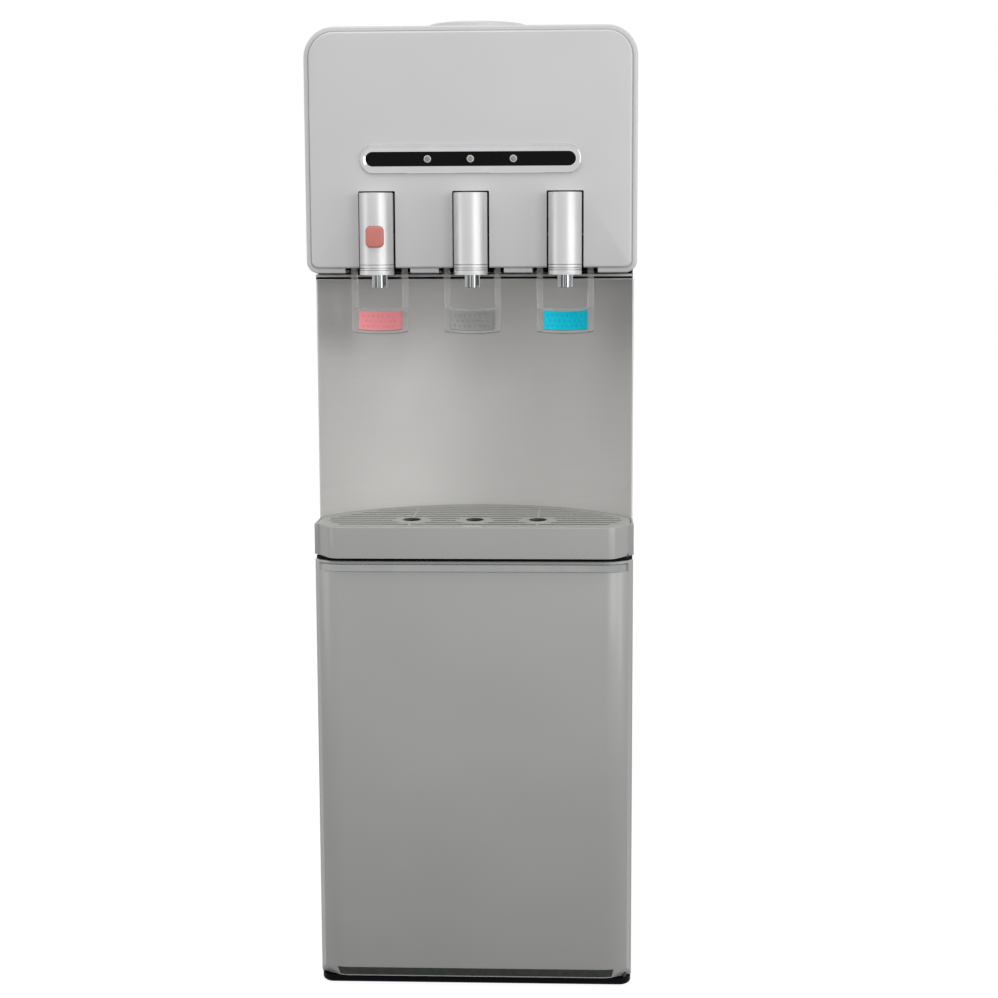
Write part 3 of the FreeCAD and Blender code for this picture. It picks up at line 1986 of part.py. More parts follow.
plinth_deck = plinth_low + size("plinth_floor")
plate_seat = plinth_deck + size("grommet_radius")
shell_low = plate_seat + size("wall")
shell_top = shell_low + size("compressor_height")
seam_middle = (shell_low + shell_top) / 2
seam_radius = size("compressor_radius") + size("compressor_seam")
shell = new_body()
turned(
    shell,
    compressor_place,
    [
        (0, shell_low),
        (size("compressor_radius"), shell_low, size("compressor_crown")),
        (size("compressor_radius"), seam_middle - size("compressor_seam") / 2),
        (seam_radius, seam_middle - size("compressor_seam") / 2),
        (seam_radius, seam_middle + size("compressor_seam") / 2),
        (size("compressor_radius"), seam_middle + size("compressor_seam") / 2),
        (size("compressor_radius"), shell_top, size("compressor_crown")),
        (0, shell_top),
    ],
)
plate_span = size("compressor_plate")
grommet_places = [
    (
        compressor_place[0] + right * (plate_span - size("grommet_radius")),
        compressor_place[1] + back * (plate_span - size("grommet_radius")),
    )
    for right in (-1, 1)
    for back in (-1, 1)
]
relay_side = compressor_place[0] + size("compressor_radius")
finished(
    "compressor",
    fused(
        shell,
        block(
            (compressor_place[0] - plate_span, compressor_place[0] + plate_span),
            (compressor_place[1] - plate_span, compressor_place[1] + plate_span),
            (plate_seat, shell_low),
        ),
        block(
            (relay_side - size("relay_width") / 2, relay_side + size("relay_width")),
            (compressor_place[1] - size("relay_width"), compressor_place[1] + size("relay_width")),
            (seam_middle + size("compressor_seam"), seam_middle + 3 * size("relay_width")),
        ),
        *[
            rod("z", place, (plinth_deck, plate_seat), size("grommet_radius"))
            for place in grommet_places
        ],
    ),
)
run_depth = case_back + size("condenser_stand_off")
run_half = case_side - size("condenser_margin")
lead_start = compressor_place[1] + size("compressor_radius") + size("fit_gap")
lead_low = size("condenser_lead")
run_bend = size("condenser_pitch") / 2
lead = [
    (size("condenser_shift"), lead_start, lead_low),
    (size("condenser_shift"), run_depth, lead_low),
    (size("condenser_shift"), run_depth, size("condenser_joint") - size("pin_gap")),
]
first_run = size("condenser_foot") - size("condenser_pitch")
runs = [
    (size("condenser_shift"), run_depth, size("condenser_joint")),
    (size("condenser_shift"), run_depth, first_run),
    (run_half, run_depth, first_run),
]
for run in range(CONDENSER_RUNS):
    height = size("condenser_foot") + run * size("condenser_pitch")
    side = 1 if run % 2 == 0 else -1
    runs.append((side * run_half, run_depth, height))
    runs.append((-side * run_half, run_depth, height))
condenser_top = size("condenser_foot") + (CONDENSER_RUNS - 1) * size("condenser_pitch")
wire_depth = (
    run_depth + size("condenser_tube_radius") + size("pin_gap") + size("condenser_wire_radius")
)
wire_reach = size("condenser_pitch") / 4
middle_wire = (CONDENSER_WIRES - 1) / 2
wire_pitch = (run_half - size("wire_margin")) / middle_wire
stand_side = run_half - size("condenser_pitch")
finished(
    "condenser",
    group(
        held_shape(bent_bar(lead, size("lead_bend"), size("condenser_tube_radius"))),
        held_shape(bent_bar(runs, run_bend, size("condenser_tube_radius"))),
        *[
            rod(
                "z",
                ((wire - middle_wire) * wire_pitch, wire_depth),
                (size("condenser_foot") - wire_reach, condenser_top + wire_reach),
                size("condenser_wire_radius"),
            )
            for wire in range(CONDENSER_WIRES)
        ],
        *[
            rod(
                "y",
                (side * stand_side, height),
                (case_back, run_depth - size("condenser_tube_radius")),
                size("stand_off_radius"),
            )
            for side in (-1, 1)
            for height in (size("condenser_foot"), condenser_top)
        ],
    ),
)

# Back fittings: a housing with two rocker switches, a gland for the cord and a drain plug

plate_back = case_back + size("switch_plate")
well_front = case_back - size("switch_depth") + liner_wall
rocker_depth = case_back - size("rocker_sink")
pocket_half = size("switch_width") / 2
finished(
    "switch_housing",
    fused(
        cut(
            fused(
                block(
                    (switch_middle - housing_width / 2, switch_middle + housing_width / 2),
                    (case_back, plate_back),
                    (
                        size("switch_height") - housing_height / 2,
                        size("switch_height") + housing_height / 2,
                    ),
                ),
                block(
                    (switch_hole[0][0], switch_hole[1][0]),
                    (case_back - size("switch_depth"), case_back),
                    (switch_hole[0][1], switch_hole[2][1]),
                ),
            ),
            *[
                block(
                    (switch_middle - pocket_half, switch_middle + pocket_half),
                    (well_front, plate_back),
                    (centre - size("switch_length") / 2, centre + size("switch_length") / 2),
                )
                for centre in switch_centres.values()
            ],
        ),
        *[
            rod(
                "x",
                (rocker_depth, centre),
                (switch_middle - pocket_half, switch_middle + pocket_half),
                size("rocker_pin"),
            )
            for centre in switch_centres.values()
        ],
    ),
)
for tap, centre in switch_centres.items():
    rocker = cut(
        block(
            (size("fit_gap") - pocket_half, pocket_half - size("fit_gap")),
            (-size("rocker_back"), size("rocker_front")),
            (-size("rocker_half"), size("rocker_half")),
        ),
        rod("x", (0, 0), (-pocket_half, pocket_half), size("rocker_pin") + size("pin_gap")),
    )
    rocker.Placement = FreeCAD.Placement(
        FreeCAD.Vector(), FreeCAD.Rotation(FreeCAD.Vector(1, 0, 0), -SIZES["switch_tilt"])
    )
    bind(rocker, "Placement.Rotation.Angle", -size("switch_tilt"))
    for axis, place in zip("xyz", (switch_middle, rocker_depth, centre)):
        bind(rocker, f"Placement.Base.{axis}", place)
    finished(f"{tap}_switch", rocker)
finished(
    "cord_gland",
    cut(
        fused(
            rod("y", gland_place, (case_back, plate_back), size("gland_radius")),
            rod("y", gland_place, (case_back - size("gland_length"), case_back), size("gland_neck")),
        ),
        rod("y", gland_place, (case_back - size("gland_length"), plate_back), size("gland_bore")),
    ),
)
plug_low = drain_back + size("fit_gap")
plug_stem_radius = size("inlet_bore") - size("pin_gap")
finished(
    "drain_plug",
    fused(
        rod("y", drain_place, (drain_back - size("plug_stem"), plug_low), plug_stem_radius),
        rod("y", drain_place, (plug_low, plug_low + size("plug_head")), size("plug_radius")),
    ),
)

# Screws: six in the back and two in the tap bracket


def screw(place, seat):
    """A round-headed screw whose head stands on a seat and whose shank points to the front."""
    return fused(
        rod("y", place, (seat, seat + size("screw_head")), size("screw_head_radius")),
        rod("y", place, (seat - size("screw_length"), seat), size("screw_radius")),
    )


finished(
    "case_screws",
    group(
        *[screw((side * screw_side, row), case_back) for side in (-1, 1) for row in screw_rows],
        *[screw(place, bracket_back) for place in post_places],
    ),
)

# Every object is checked, and each sub-part is written as its own file

doc.recompute()
faulty = [thing.Label for thing in doc.Objects if {"Invalid", "Error"} & set(thing.State)]
if faulty:
    raise RuntimeError(f"objects in error: {faulty}")
for piece in pieces:
    if piece.Shape.isNull() or not piece.Shape.isValid():
        raise RuntimeError(f"{piece.Label} has no sound shape")
os.makedirs("parts", exist_ok=True)
for piece in pieces:
    piece.Shape.exportStep(f"parts/{piece.Label}.step")
print(len(pieces), "sub-parts written")
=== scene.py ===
import math
import bmesh
import bpy
from mathutils import Matrix, Vector


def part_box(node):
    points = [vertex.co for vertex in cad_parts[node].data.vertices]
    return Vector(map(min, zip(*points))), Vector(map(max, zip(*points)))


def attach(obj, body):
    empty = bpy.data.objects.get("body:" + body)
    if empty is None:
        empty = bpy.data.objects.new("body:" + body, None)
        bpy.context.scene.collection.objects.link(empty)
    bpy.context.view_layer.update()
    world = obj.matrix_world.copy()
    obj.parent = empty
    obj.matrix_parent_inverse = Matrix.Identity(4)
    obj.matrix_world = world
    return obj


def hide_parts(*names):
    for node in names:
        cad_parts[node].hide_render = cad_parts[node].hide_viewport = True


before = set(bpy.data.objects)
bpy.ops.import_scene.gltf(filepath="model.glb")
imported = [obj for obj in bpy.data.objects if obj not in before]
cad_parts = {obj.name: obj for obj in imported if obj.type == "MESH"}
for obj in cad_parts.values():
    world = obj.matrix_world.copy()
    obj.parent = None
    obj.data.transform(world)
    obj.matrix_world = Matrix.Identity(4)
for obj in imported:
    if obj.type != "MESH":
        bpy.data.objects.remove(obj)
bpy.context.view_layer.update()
MM = 0.001

# Camera: it stands about two metres in front of the taps, a little to the right, and looks
# slightly down, as in the photograph.
CAMERA_PLACE = (0.1041, -1.968, 0.7433)
CAMERA_LENS = 69.2
CAMERA_YAW, CAMERA_PITCH, CAMERA_ROLL = -0.043, 0.136, -0.004

bpy.ops.object.camera_add(location=CAMERA_PLACE)
camera = bpy.context.object
camera.data.lens = CAMERA_LENS
camera.data.sensor_width = 36
camera.matrix_world = (
    Matrix.Translation(CAMERA_PLACE)
    @ Matrix.Rotation(-CAMERA_YAW, 4, "Z")
    @ Matrix.Rotation(math.pi / 2 - CAMERA_PITCH, 4, "X")
    @ Matrix.Rotation(CAMERA_ROLL, 4, "Z")
)
bpy.context.scene.camera = camera
bpy.context.scene.view_settings.view_transform = "Standard"

# Studio: a white floor that keeps the machine's shadow, a white surround, a large soft lamp in
# front on the right, one high above, and a narrow one at each side.
KEY_POWER = 19
TOP_POWER = 26
RIGHT_POWER = 8
LEFT_POWER = 6
SURROUND_FILL = 0.82
PAPER_GLOW = 0.94


def linear(code):
    """A colour for a shader, from its sRGB hex code."""
    parts = [int(code[place:place + 2], 16) / 255 for place in (1, 3, 5)]
    return [p / 12.92 if p <= 0.04045 else ((p + 0.055) / 1.055) ** 2.4 for p in parts] + [1]


def add_node(tree, kind, settings=None, links=None):
    """Adds one shader node, sets its inputs and options, and links other nodes' outputs to it."""
    node = tree.nodes.new(kind)
    for word, value in (settings or {}).items():
        if isinstance(word, int) or word in node.inputs:
            node.inputs[word].default_value = value
        else:
            setattr(node, word, value)
    for word, source in (links or {}).items():
        tree.links.new(source, node.inputs[word])
    return node


def seen_directly(tree):
    """One for the rays that see a surround straight, in a mirror or through glass."""
    path = add_node(tree, "ShaderNodeLightPath").outputs
    mirror = add_node(tree, "ShaderNodeMath", {"operation": "MAXIMUM"},
                      {0: path["Is Camera Ray"], 1: path["Is Glossy Ray"]})
    return add_node(tree, "ShaderNodeMath", {"operation": "MAXIMUM"},
                    {0: mirror.outputs[0], 1: path["Is Transmission Ray"]}).outputs[0]


surround = bpy.data.worlds.new("white_surround")
bpy.context.scene.world = surround
surround.use_nodes = True
tree = surround.node_tree
tree.nodes.clear()
fill = add_node(tree, "ShaderNodeBackground", {"Color": (1, 1, 1, 1), "Strength": SURROUND_FILL})
white = add_node(tree, "ShaderNodeBackground", {"Color": (1, 1, 1, 1), "Strength": 1})
both = add_node(tree, "ShaderNodeMixShader", None,
                {0: seen_directly(tree), 1: fill.outputs[0], 2: white.outputs[0]})
add_node(tree, "ShaderNodeOutputWorld", None, {"Surface": both.outputs[0]})

bpy.ops.mesh.primitive_plane_add(size=14, location=(0, 2, 0))
floor = bpy.context.object
floor.name = "studio_floor"
paper = bpy.data.materials.new("white_paper")
paper.use_nodes = True
tree = paper.node_tree
tree.nodes.clear()
shaded = add_node(tree, "ShaderNodeBsdfDiffuse", {"Color": linear("#5c5c5c")})
glow = add_node(tree, "ShaderNodeEmission", {"Color": (1, 1, 1, 1)},
                {"Strength": add_node(tree, "ShaderNodeMath", {"operation": "MULTIPLY", 1: PAPER_GLOW},
                                      {0: seen_directly(tree)}).outputs[0]})
both = add_node(tree, "ShaderNodeAddShader", None, {0: shaded.outputs[0], 1: glow.outputs[0]})
add_node(tree, "ShaderNodeOutputMaterial", None, {"Surface": both.outputs[0]})
floor.data.materials.append(paper)

for place, aim, wide, tall, power in (
    ((1.7, -2.5, 1.15), (0, 0, 0.7), 1.1, 1.4, KEY_POWER),
    ((-0.5, -1.6, 3.4), (0, 0, 0.7), 1.8, 1.2, TOP_POWER),
    ((2.1, -1.3, 0.75), (0, 0, 0.5), 0.6, 1.2, RIGHT_POWER),
    ((-2.3, -0.9, 0.8), (0, 0, 0.6), 0.7, 1.2, LEFT_POWER),
):
    bpy.ops.object.light_add(type="AREA", location=place)
    lamp = bpy.context.object
    lamp.data.shape = "RECTANGLE"
    lamp.data.size = wide
    lamp.data.size_y = tall
    lamp.data.energy = power
    lamp.matrix_world = Matrix.Translation(place) @ (
        (Vector(aim) - Vector(place)).to_track_quat("-Z", "Y").to_matrix().to_4x4()
    )

# Head front: one deep moulding in silver pearl ABS, with a rim, a raised plate, three slots for
# the taps and a notch under each. It closes the head in front and carries the indicator.
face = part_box("head_front")[0].y
X, DEPTH, HEIGHT = 0, 1, 2
TAPS = {"hot": -88.9, "normal": 0.0, "cold": 88.9}
HEAD_HALF, HEAD_BACK = 156.75, 62.6
HEAD_LOW, HEAD_TOP = 709.1, 938.5
TOP_CORNER, LOW_CORNER = 29, 11.5
RIM_FACE, RIM_WALL, RIM_GROOVE = 3.6, 2.5, 0.8
PLATE_LOW, PLATE_MARGIN, PLATE_WALL = 717, 9, 3
HOLLOW_FRONT = 8.5
SLOT_HALF, SLOT_TOP = 17.4, 786.05
NOTCH_HALF, NOTCH_TOP, NOTCH_BACK = 31, 714, 40.4


def at(x, depth, height):
    """A place from millimetres across, behind the plate's face, and above the floor."""
    return Vector((x * MM, face + depth * MM, height * MM))


def spots(item):
    """The points of a face, an edge or a point, as millimetres across, behind and up."""
    points = [item] if isinstance(item, bmesh.types.BMVert) else item.verts
    return [Vector((p.co.x / MM, (p.co.y - face) / MM, p.co.z / MM)) for p in points]


def on(item, axis, place):
    """Whether all of a face, an edge or a point lies at one place along an axis."""
    return all(abs(spot[axis] - place) < 0.05 for spot in spots(item))


def along(edge, axis):
    """Whether an edge runs along an axis."""
    run = spots(edge)[1] - spots(edge)[0]
    return abs(abs(run[axis]) - run.length) < 0.01


def start_shaping(name):
    """Fixes a new primitive's place in its mesh and opens it for shaping with nothing selected."""
    piece = bpy.context.object
    piece.name = name
    piece.data.name = name
    bpy.ops.object.transform_apply(location=True, rotation=True, scale=True)
    bpy.ops.object.mode_set(mode="EDIT")
    bpy.ops.mesh.select_all(action="DESELECT")
    return piece


def clear_bench():
    """Ends the shaping of the last piece and leaves nothing selected."""
    if bpy.context.object and bpy.context.object.mode == "EDIT":
        bpy.ops.object.mode_set(mode="OBJECT")
    bpy.ops.object.select_all(action="DESELECT")


def block(name, corner, opposite):
    """A rectangular block between two opposite corners."""
    corner, opposite = at(*corner), at(*opposite)
    clear_bench()
    bpy.ops.mesh.primitive_cube_add(size=1, location=(corner + opposite) / 2)
    bpy.context.object.scale = [abs(reach) for reach in opposite - corner]
    return start_shaping(name)


def pick(kind, test):
    """Selects the faces, edges or points of the piece in hand that pass a test."""
    bpy.ops.mesh.select_mode(type=kind)
    bpy.ops.mesh.select_all(action="DESELECT")
    mesh = bmesh.from_edit_mesh(bpy.context.object.data)
    for item in {"FACE": mesh.faces, "EDGE": mesh.edges, "VERT": mesh.verts}[kind]:
        if test(item):
            item.select_set(True)
    bmesh.update_edit_mesh(bpy.context.object.data)


def round_edges(radius, steps, test):
    """Rounds the edges that pass a test."""
    pick("EDGE", test)
    bpy.ops.mesh.bevel(offset=radius * MM, segments=steps, affect="EDGES", clamp_overlap=True)


def pull_out(x=0, depth=0, height=0):
    """Extrudes what is selected by a distance."""
    bpy.ops.mesh.extrude_region_move(
        TRANSFORM_OT_translate={"value": (x * MM, depth * MM, height * MM)}
    )


def make_active(piece):
    """Selects one piece alone, as the one that the next operators work on."""
    clear_bench()
    piece.select_set(True)
    bpy.context.view_layer.objects.active = piece


def apply_change(piece, kind, **settings):
    """Adds a modifier to a piece and applies it."""
    make_active(piece)
    change = piece.modifiers.new(kind.lower(), kind)
    for word, value in settings.items():
        setattr(change, word, value)
    bpy.ops.object.modifier_apply(modifier=change.name)


def cut_away(piece, cutters, operation="DIFFERENCE"):
    """Cuts shapes out of a piece, or joins them to it, and removes them."""
    for cutter in cutters:
        apply_change(piece, "BOOLEAN", object=cutter, operation=operation, solver="EXACT")
        bpy.data.objects.remove(cutter)


def finished(piece, body, nodes, finish, angle=38):
    """Gives a shaped piece its smooth shading, its material, its body and the nodes it stands for."""
    make_active(piece)
    bpy.ops.object.shade_smooth_by_angle(angle=math.radians(angle))
    piece.data.materials.clear()
    piece.data.materials.append(finish)
    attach(piece, body)
    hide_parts(*nodes)
    return piece


def new_finish(name, colour, **settings):
    """A material whose shader holds the settings that are the same all over."""
    finish = bpy.data.materials.new(name)
    finish.use_nodes = True
    shader = finish.node_tree.nodes["Principled BSDF"]
    shader.inputs["Base Color"].default_value = linear(colour)
    for word, value in settings.items():
        shader.inputs[word.replace("_", " ")].default_value = value
    return finish


def link_surface(finish, tone, wear, relief):
    """Leads a pattern's colour, roughness and relief to a material's shader."""
    shader = finish.node_tree.nodes["Principled BSDF"]
    finish.node_tree.links.new(tone.outputs[2], shader.inputs["Base Color"])
    finish.node_tree.links.new(wear.outputs[0], shader.inputs["Roughness"])
    finish.node_tree.links.new(relief.outputs[0], shader.inputs["Normal"])


def grained(finish, light, dark, rough, patch_mm, grain_mm, relief_mm):
    """Varies a surface: broad patches in colour, and a fine grain in roughness and relief."""
    tree = finish.node_tree
    place = add_node(tree, "ShaderNodeTexCoord").outputs["Object"]
    patch = add_node(tree, "ShaderNodeTexNoise", {"Scale": 1 / (patch_mm * MM), "Detail": 3},
                     {"Vector": place})
    grain = add_node(tree, "ShaderNodeTexNoise", {"Scale": 1 / (grain_mm * MM), "Detail": 4},
                     {"Vector": place})
    spread = add_node(tree, "ShaderNodeMapRange", {1: 0.3, 2: 0.7}, {0: patch.outputs["Fac"]})
    tone = add_node(tree, "ShaderNodeMix", {"data_type": "RGBA", 6: linear(dark), 7: linear(light)},
                    {0: spread.outputs[0]})
    wear = add_node(tree, "ShaderNodeMapRange", {1: 0.3, 2: 0.7, 3: rough[0], 4: rough[1]},
                    {0: grain.outputs["Fac"]})
    relief = add_node(tree, "ShaderNodeBump", {"Distance": relief_mm * MM, "Strength": 0.5},
                      {"Height": grain.outputs["Fac"]})
    link_surface(finish, tone, wear, relief)


# Silver pearl ABS: grey resin with fine aluminium flake, moulded against a polished tool. It looks
# like a soft metal under a thin clear gloss. The flake is 0.05 mm and drawn at 0.6 mm to show.
light_silver = new_finish("light_silver_pearl_abs", "#c5c5c5", Metallic=0.08,
                          Coat_Weight=0.25, Coat_Roughness=0.12)
grained(light_silver, "#c7c6c7", "#c3c3c3", (0.34, 0.44), 90, 0.6, 0.01)


def head_form(name, inset, low, front, back):
    """The head's outline with its four rounded corners, drawn in by an inset."""
    half, top = HEAD_HALF - inset, HEAD_TOP - inset
    piece = block(name, (-half, front, low), (half, back, top))
    round_edges(TOP_CORNER - inset, 14, lambda e: along(e, DEPTH) and on(e, HEIGHT, top))
    round_edges(LOW_CORNER - inset, 8, lambda e: along(e, DEPTH) and on(e, HEIGHT, low))
    return piece


head = head_form("head_shell", 0, HEAD_LOW, RIM_FACE, HEAD_BACK)
round_edges(1.8, 4, lambda e: on(e, DEPTH, RIM_FACE))
pick("FACE", lambda f: on(f, DEPTH, RIM_FACE))
bpy.ops.mesh.inset(thickness=2.4 * MM)
bpy.ops.mesh.inset(thickness=0.1 * MM, depth=-RIM_GROOVE * MM)
bpy.ops.mesh.inset(thickness=RIM_GROOVE * MM)
pull_out(depth=-RIM_FACE - RIM_GROOVE)
round_edges(2, 4, lambda e: on(e, DEPTH, 0))
cutters = [
    head_form("rim_hollow", RIM_WALL, HEAD_LOW + RIM_WALL, HOLLOW_FRONT, 70),
    head_form("plate_hollow", PLATE_MARGIN, PLATE_LOW, PLATE_WALL, 12),
]
for x in TAPS.values():
    cutters.append(block("slot_cut", (x - SLOT_HALF, -2, 700), (x + SLOT_HALF, 12, SLOT_TOP)))
    round_edges(1.2, 3, lambda e: along(e, DEPTH) and on(e, HEIGHT, SLOT_TOP))
    cutters.append(block("notch_cut", (x - NOTCH_HALF, -2, 700), (x + NOTCH_HALF, NOTCH_BACK, NOTCH_TOP)))
cut_away(head, cutters)
finished(head, "case", ["head_front"], light_silver)

# Door: a moulded shell in silver grey ABS. Its sides are canted in two steps, a bevel runs along
# the foot, and a shallow channel under the top edge holds a bright strip.
DOOR_HALF, DOOR_BACK = 155, 22
DOOR_LOW, DOOR_TOP = 11, 432.3
FRONT_HALF, CANT_HALF, CANT_DEPTH = 135, 150, 8.5
BEVEL_TOP, BEVEL_DEPTH, CORNER_BEVEL_SHARE = 22, 7, 0.64
FOOT_SHADE_LOW, LIP_REACH = 12.3, 0.8
DOOR_WALL, SEAT_DEPTH, SEAT_WIDTH, POCKET_DEPTH = 2.6, 4, 9, 8
CHANNEL_LOW, CHANNEL_TOP = 421.8, 429.8
CHANNEL_HALF, CHANNEL_DEPTH = 150.3, 4
silver_grey = new_finish("silver_grey_pearl_abs", "#9d9d9b", Metallic=0.08,
                         Coat_Weight=0.2, Coat_Roughness=0.15)
grained(silver_grey, "#9f9f9d", "#9b9b99", (0.34, 0.44), 120, 0.6, 0.01)

door = block("door_skin", (-DOOR_HALF, 0, DOOR_LOW), (DOOR_HALF, DOOR_BACK, DOOR_TOP))
pick("FACE", lambda f: on(f, DEPTH, DOOR_BACK))
bpy.ops.mesh.inset(thickness=DOOR_WALL * MM)
pull_out(depth=-SEAT_DEPTH)
bpy.ops.mesh.inset(thickness=SEAT_WIDTH * MM)
pull_out(depth=-POCKET_DEPTH)


def between(item, axis, low, high):
    """Whether all of a face, an edge or a point lies between two places along an axis."""
    return all(low <= spot[axis] <= high for spot in spots(item))


def slice_off(place, normal):
    """Cuts the piece in hand through a place and keeps the side that the normal points away from."""
    bpy.ops.mesh.select_all(action="SELECT")
    bpy.ops.mesh.bisect(plane_co=at(*place), plane_no=Vector(normal).normalized(),
                        use_fill=True, clear_outer=True)


for side in (-1, 1):
    slice_off((side * FRONT_HALF, 0, 0), (side * CANT_DEPTH, FRONT_HALF - CANT_HALF, 0))
    slice_off((side * CANT_HALF, CANT_DEPTH, 0), (side * CANT_DEPTH, CANT_HALF - DOOR_HALF, 0))
slice_off((0, 0, BEVEL_TOP), (0, DOOR_LOW - BEVEL_TOP, -BEVEL_DEPTH))
for side in (-1, 1):
    lean = Vector((side * CANT_DEPTH, FRONT_HALF - CANT_HALF, 0)) * CORNER_BEVEL_SHARE
    slice_off((side * FRONT_HALF, 0, BEVEL_TOP), lean - Vector((0, 0, BEVEL_DEPTH)))
round_edges(7, 6, lambda e: between(e, DEPTH, -0.1, BEVEL_DEPTH + 0.2) and e.calc_face_angle(0) > 0.2
            and not on(e, HEIGHT, DOOR_TOP) and not on(e, HEIGHT, DOOR_LOW)
            and spots(e)[0].z != spots(e)[1].z)
round_edges(1.2, 3, lambda e: on(e, HEIGHT, DOOR_TOP) and not on(e, DEPTH, DOOR_BACK))
for axis, place in ((HEIGHT, CHANNEL_TOP), (HEIGHT, CHANNEL_LOW), (X, -CHANNEL_HALF), (X, CHANNEL_HALF),
                    (HEIGHT, FOOT_SHADE_LOW)):
    bpy.ops.mesh.select_all(action="SELECT")
    bpy.ops.mesh.bisect(plane_co=at(place, 0, place), plane_no=[float(axis == way) for way in range(3)])
pick("VERT", lambda v: on(v, HEIGHT, DOOR_LOW) and spots(v)[0].y < 9)
bpy.ops.transform.translate(value=(0, -LIP_REACH * MM, 0))


def lifted_off(name, test):
    """A copy of some faces of the door as a loose sheet, for a band that lies there."""
    pick("FACE", test)
    bpy.ops.mesh.duplicate()
    bpy.ops.mesh.separate(type="SELECTED")
    sheet = [o for o in bpy.context.selected_objects if o.name.startswith("door_skin.")][0]
    sheet.name = name
    sheet.data.name = name
    return sheet


def in_channel(front):
    """Whether a front face of the door lies in the strip's channel."""
    return (between(front, HEIGHT, CHANNEL_LOW - 0.1, CHANNEL_TOP + 0.1)
            and between(front, X, -CHANNEL_HALF - 0.1, CHANNEL_HALF + 0.1) and front.normal.y < -0.3)


strip = lifted_off("door_bright_strip", in_channel)
# This sheet becomes the band of painted shade and painted reflection on the foot bevel.
foot_shade_band = lifted_off("door_foot_shade_band", lambda f: f.normal.z < -0.3 and abs(f.normal.x) < 0.3
                       and between(f, HEIGHT, FOOT_SHADE_LOW - 0.1, BEVEL_TOP + 0.1))
# This sheet becomes the black strip of painted shadow on the door's top, under the tray.
top_gap_shade = lifted_off("door_top_shade_strip", lambda f: on(f, HEIGHT, DOOR_TOP) and f.normal.z > 0.9)
pick("FACE", in_channel)
bpy.ops.mesh.extrude_region_shrink_fatten(TRANSFORM_OT_shrink_fatten={"value": -CHANNEL_DEPTH * MM})
round_edges(0.9, 2, lambda e: on(e, HEIGHT, CHANNEL_LOW) and e.calc_face_angle_signed(0) > 0.5
            and between(e, X, 0.1 - CHANNEL_HALF, CHANNEL_HALF - 0.1))
finished(door, "door", ["door_shell"], silver_grey)

# Bright strip: grey hot-stamped foil on a thin plastic band, pressed into the door's channel. It
# mirrors the room with the faintest waves, and leaves a dark gap above it and at its ends.
STRIP_TOP, STRIP_HALF, STRIP_THICK = 428.5, 149.4, 2
foil = new_finish("grey_mirror_foil", "#9a9c9a", Metallic=1.0)
grained(foil, "#9ea09e", "#949797", (0.05, 0.10), 30, 4, 0.01)


def reopen(piece):
    """Opens a piece for more shaping."""
    make_active(piece)
    bpy.ops.object.mode_set(mode="EDIT")


reopen(strip)
for place, normal in (
    ((0, 0, STRIP_TOP), (0, 0, 1)), ((STRIP_HALF, 0, 0), (1, 0, 0)), ((-STRIP_HALF, 0, 0), (-1, 0, 0)),
):
    bpy.ops.mesh.select_all(action="SELECT")
    bpy.ops.mesh.bisect(plane_co=at(*place), plane_no=normal, clear_outer=True)
bpy.ops.mesh.select_all(action="SELECT")
bpy.ops.transform.shrink_fatten(value=-STRIP_THICK * MM)
apply_change(strip, "SOLIDIFY", thickness=STRIP_THICK * MM, offset=-1)
finished(strip, "door", ["door_trim_strip"], foil)

# Foot shade band: painted shade and a painted dark reflection, laid as a finely textured band
# along the bevel at the door's foot. A silver lip of the door shows under it.
foot_shade_paint = new_finish("painted_foot_shade_finish", "#2a2e2c", Specular_IOR_Level=0.2)
grained(foot_shade_paint, "#333936", "#212523", (0.5, 0.65), 9, 1.1, 0.05)
apply_change(foot_shade_band, "SOLIDIFY", thickness=0.4 * MM, offset=1)
finished(foot_shade_band, "door", [], foot_shade_paint)

# Drip tray: a moulded housing with canted front corners and a round back, in the door's plastic.
# It lies between the door and the bay, and holds the pan and its grille.
TRAY_CENTRE, TRAY_RADIUS = (0, -22.9), 173.4
TRAY_LOW, TRAY_TOP = 436.4, 467.2
TRAY_HALF, TRAY_FRONT = 155.6, -8.5
TRAY_CANT_WIDE, TRAY_CANT_DEEP, TRAY_STEP = 15.5, 26, 3.6
TRAY_WALL, TRAY_FLOOR = 3, 2


def drum(name, centre, radius, low, high, sides=64, top_radius=None):
    """An upright drum, or a cone where its top has another radius."""
    clear_bench()
    bpy.ops.mesh.primitive_cone_add(
        vertices=sides, radius1=radius * MM, depth=(high - low) * MM,
        radius2=(radius if top_radius is None else top_radius) * MM,
        location=at(centre[0], centre[1], (low + high) / 2),
    )
    return start_shaping(name)


def tray_form(name, inset, low, high):
    """The tray's plan, drawn in by an inset: canted in front and round behind."""
    piece = drum(name, TRAY_CENTRE, TRAY_RADIUS - inset, low, high, 192)
    half, front = TRAY_HALF - inset, TRAY_FRONT + inset
    for side in (-1, 1):
        slice_off((side * half, 0, 0), (side, 0, 0))
        slice_off((side * half, front + TRAY_CANT_DEEP, 0), (side * TRAY_CANT_DEEP, -TRAY_CANT_WIDE, 0))
    slice_off((0, front, 0), (0, -1, 0))
    return piece


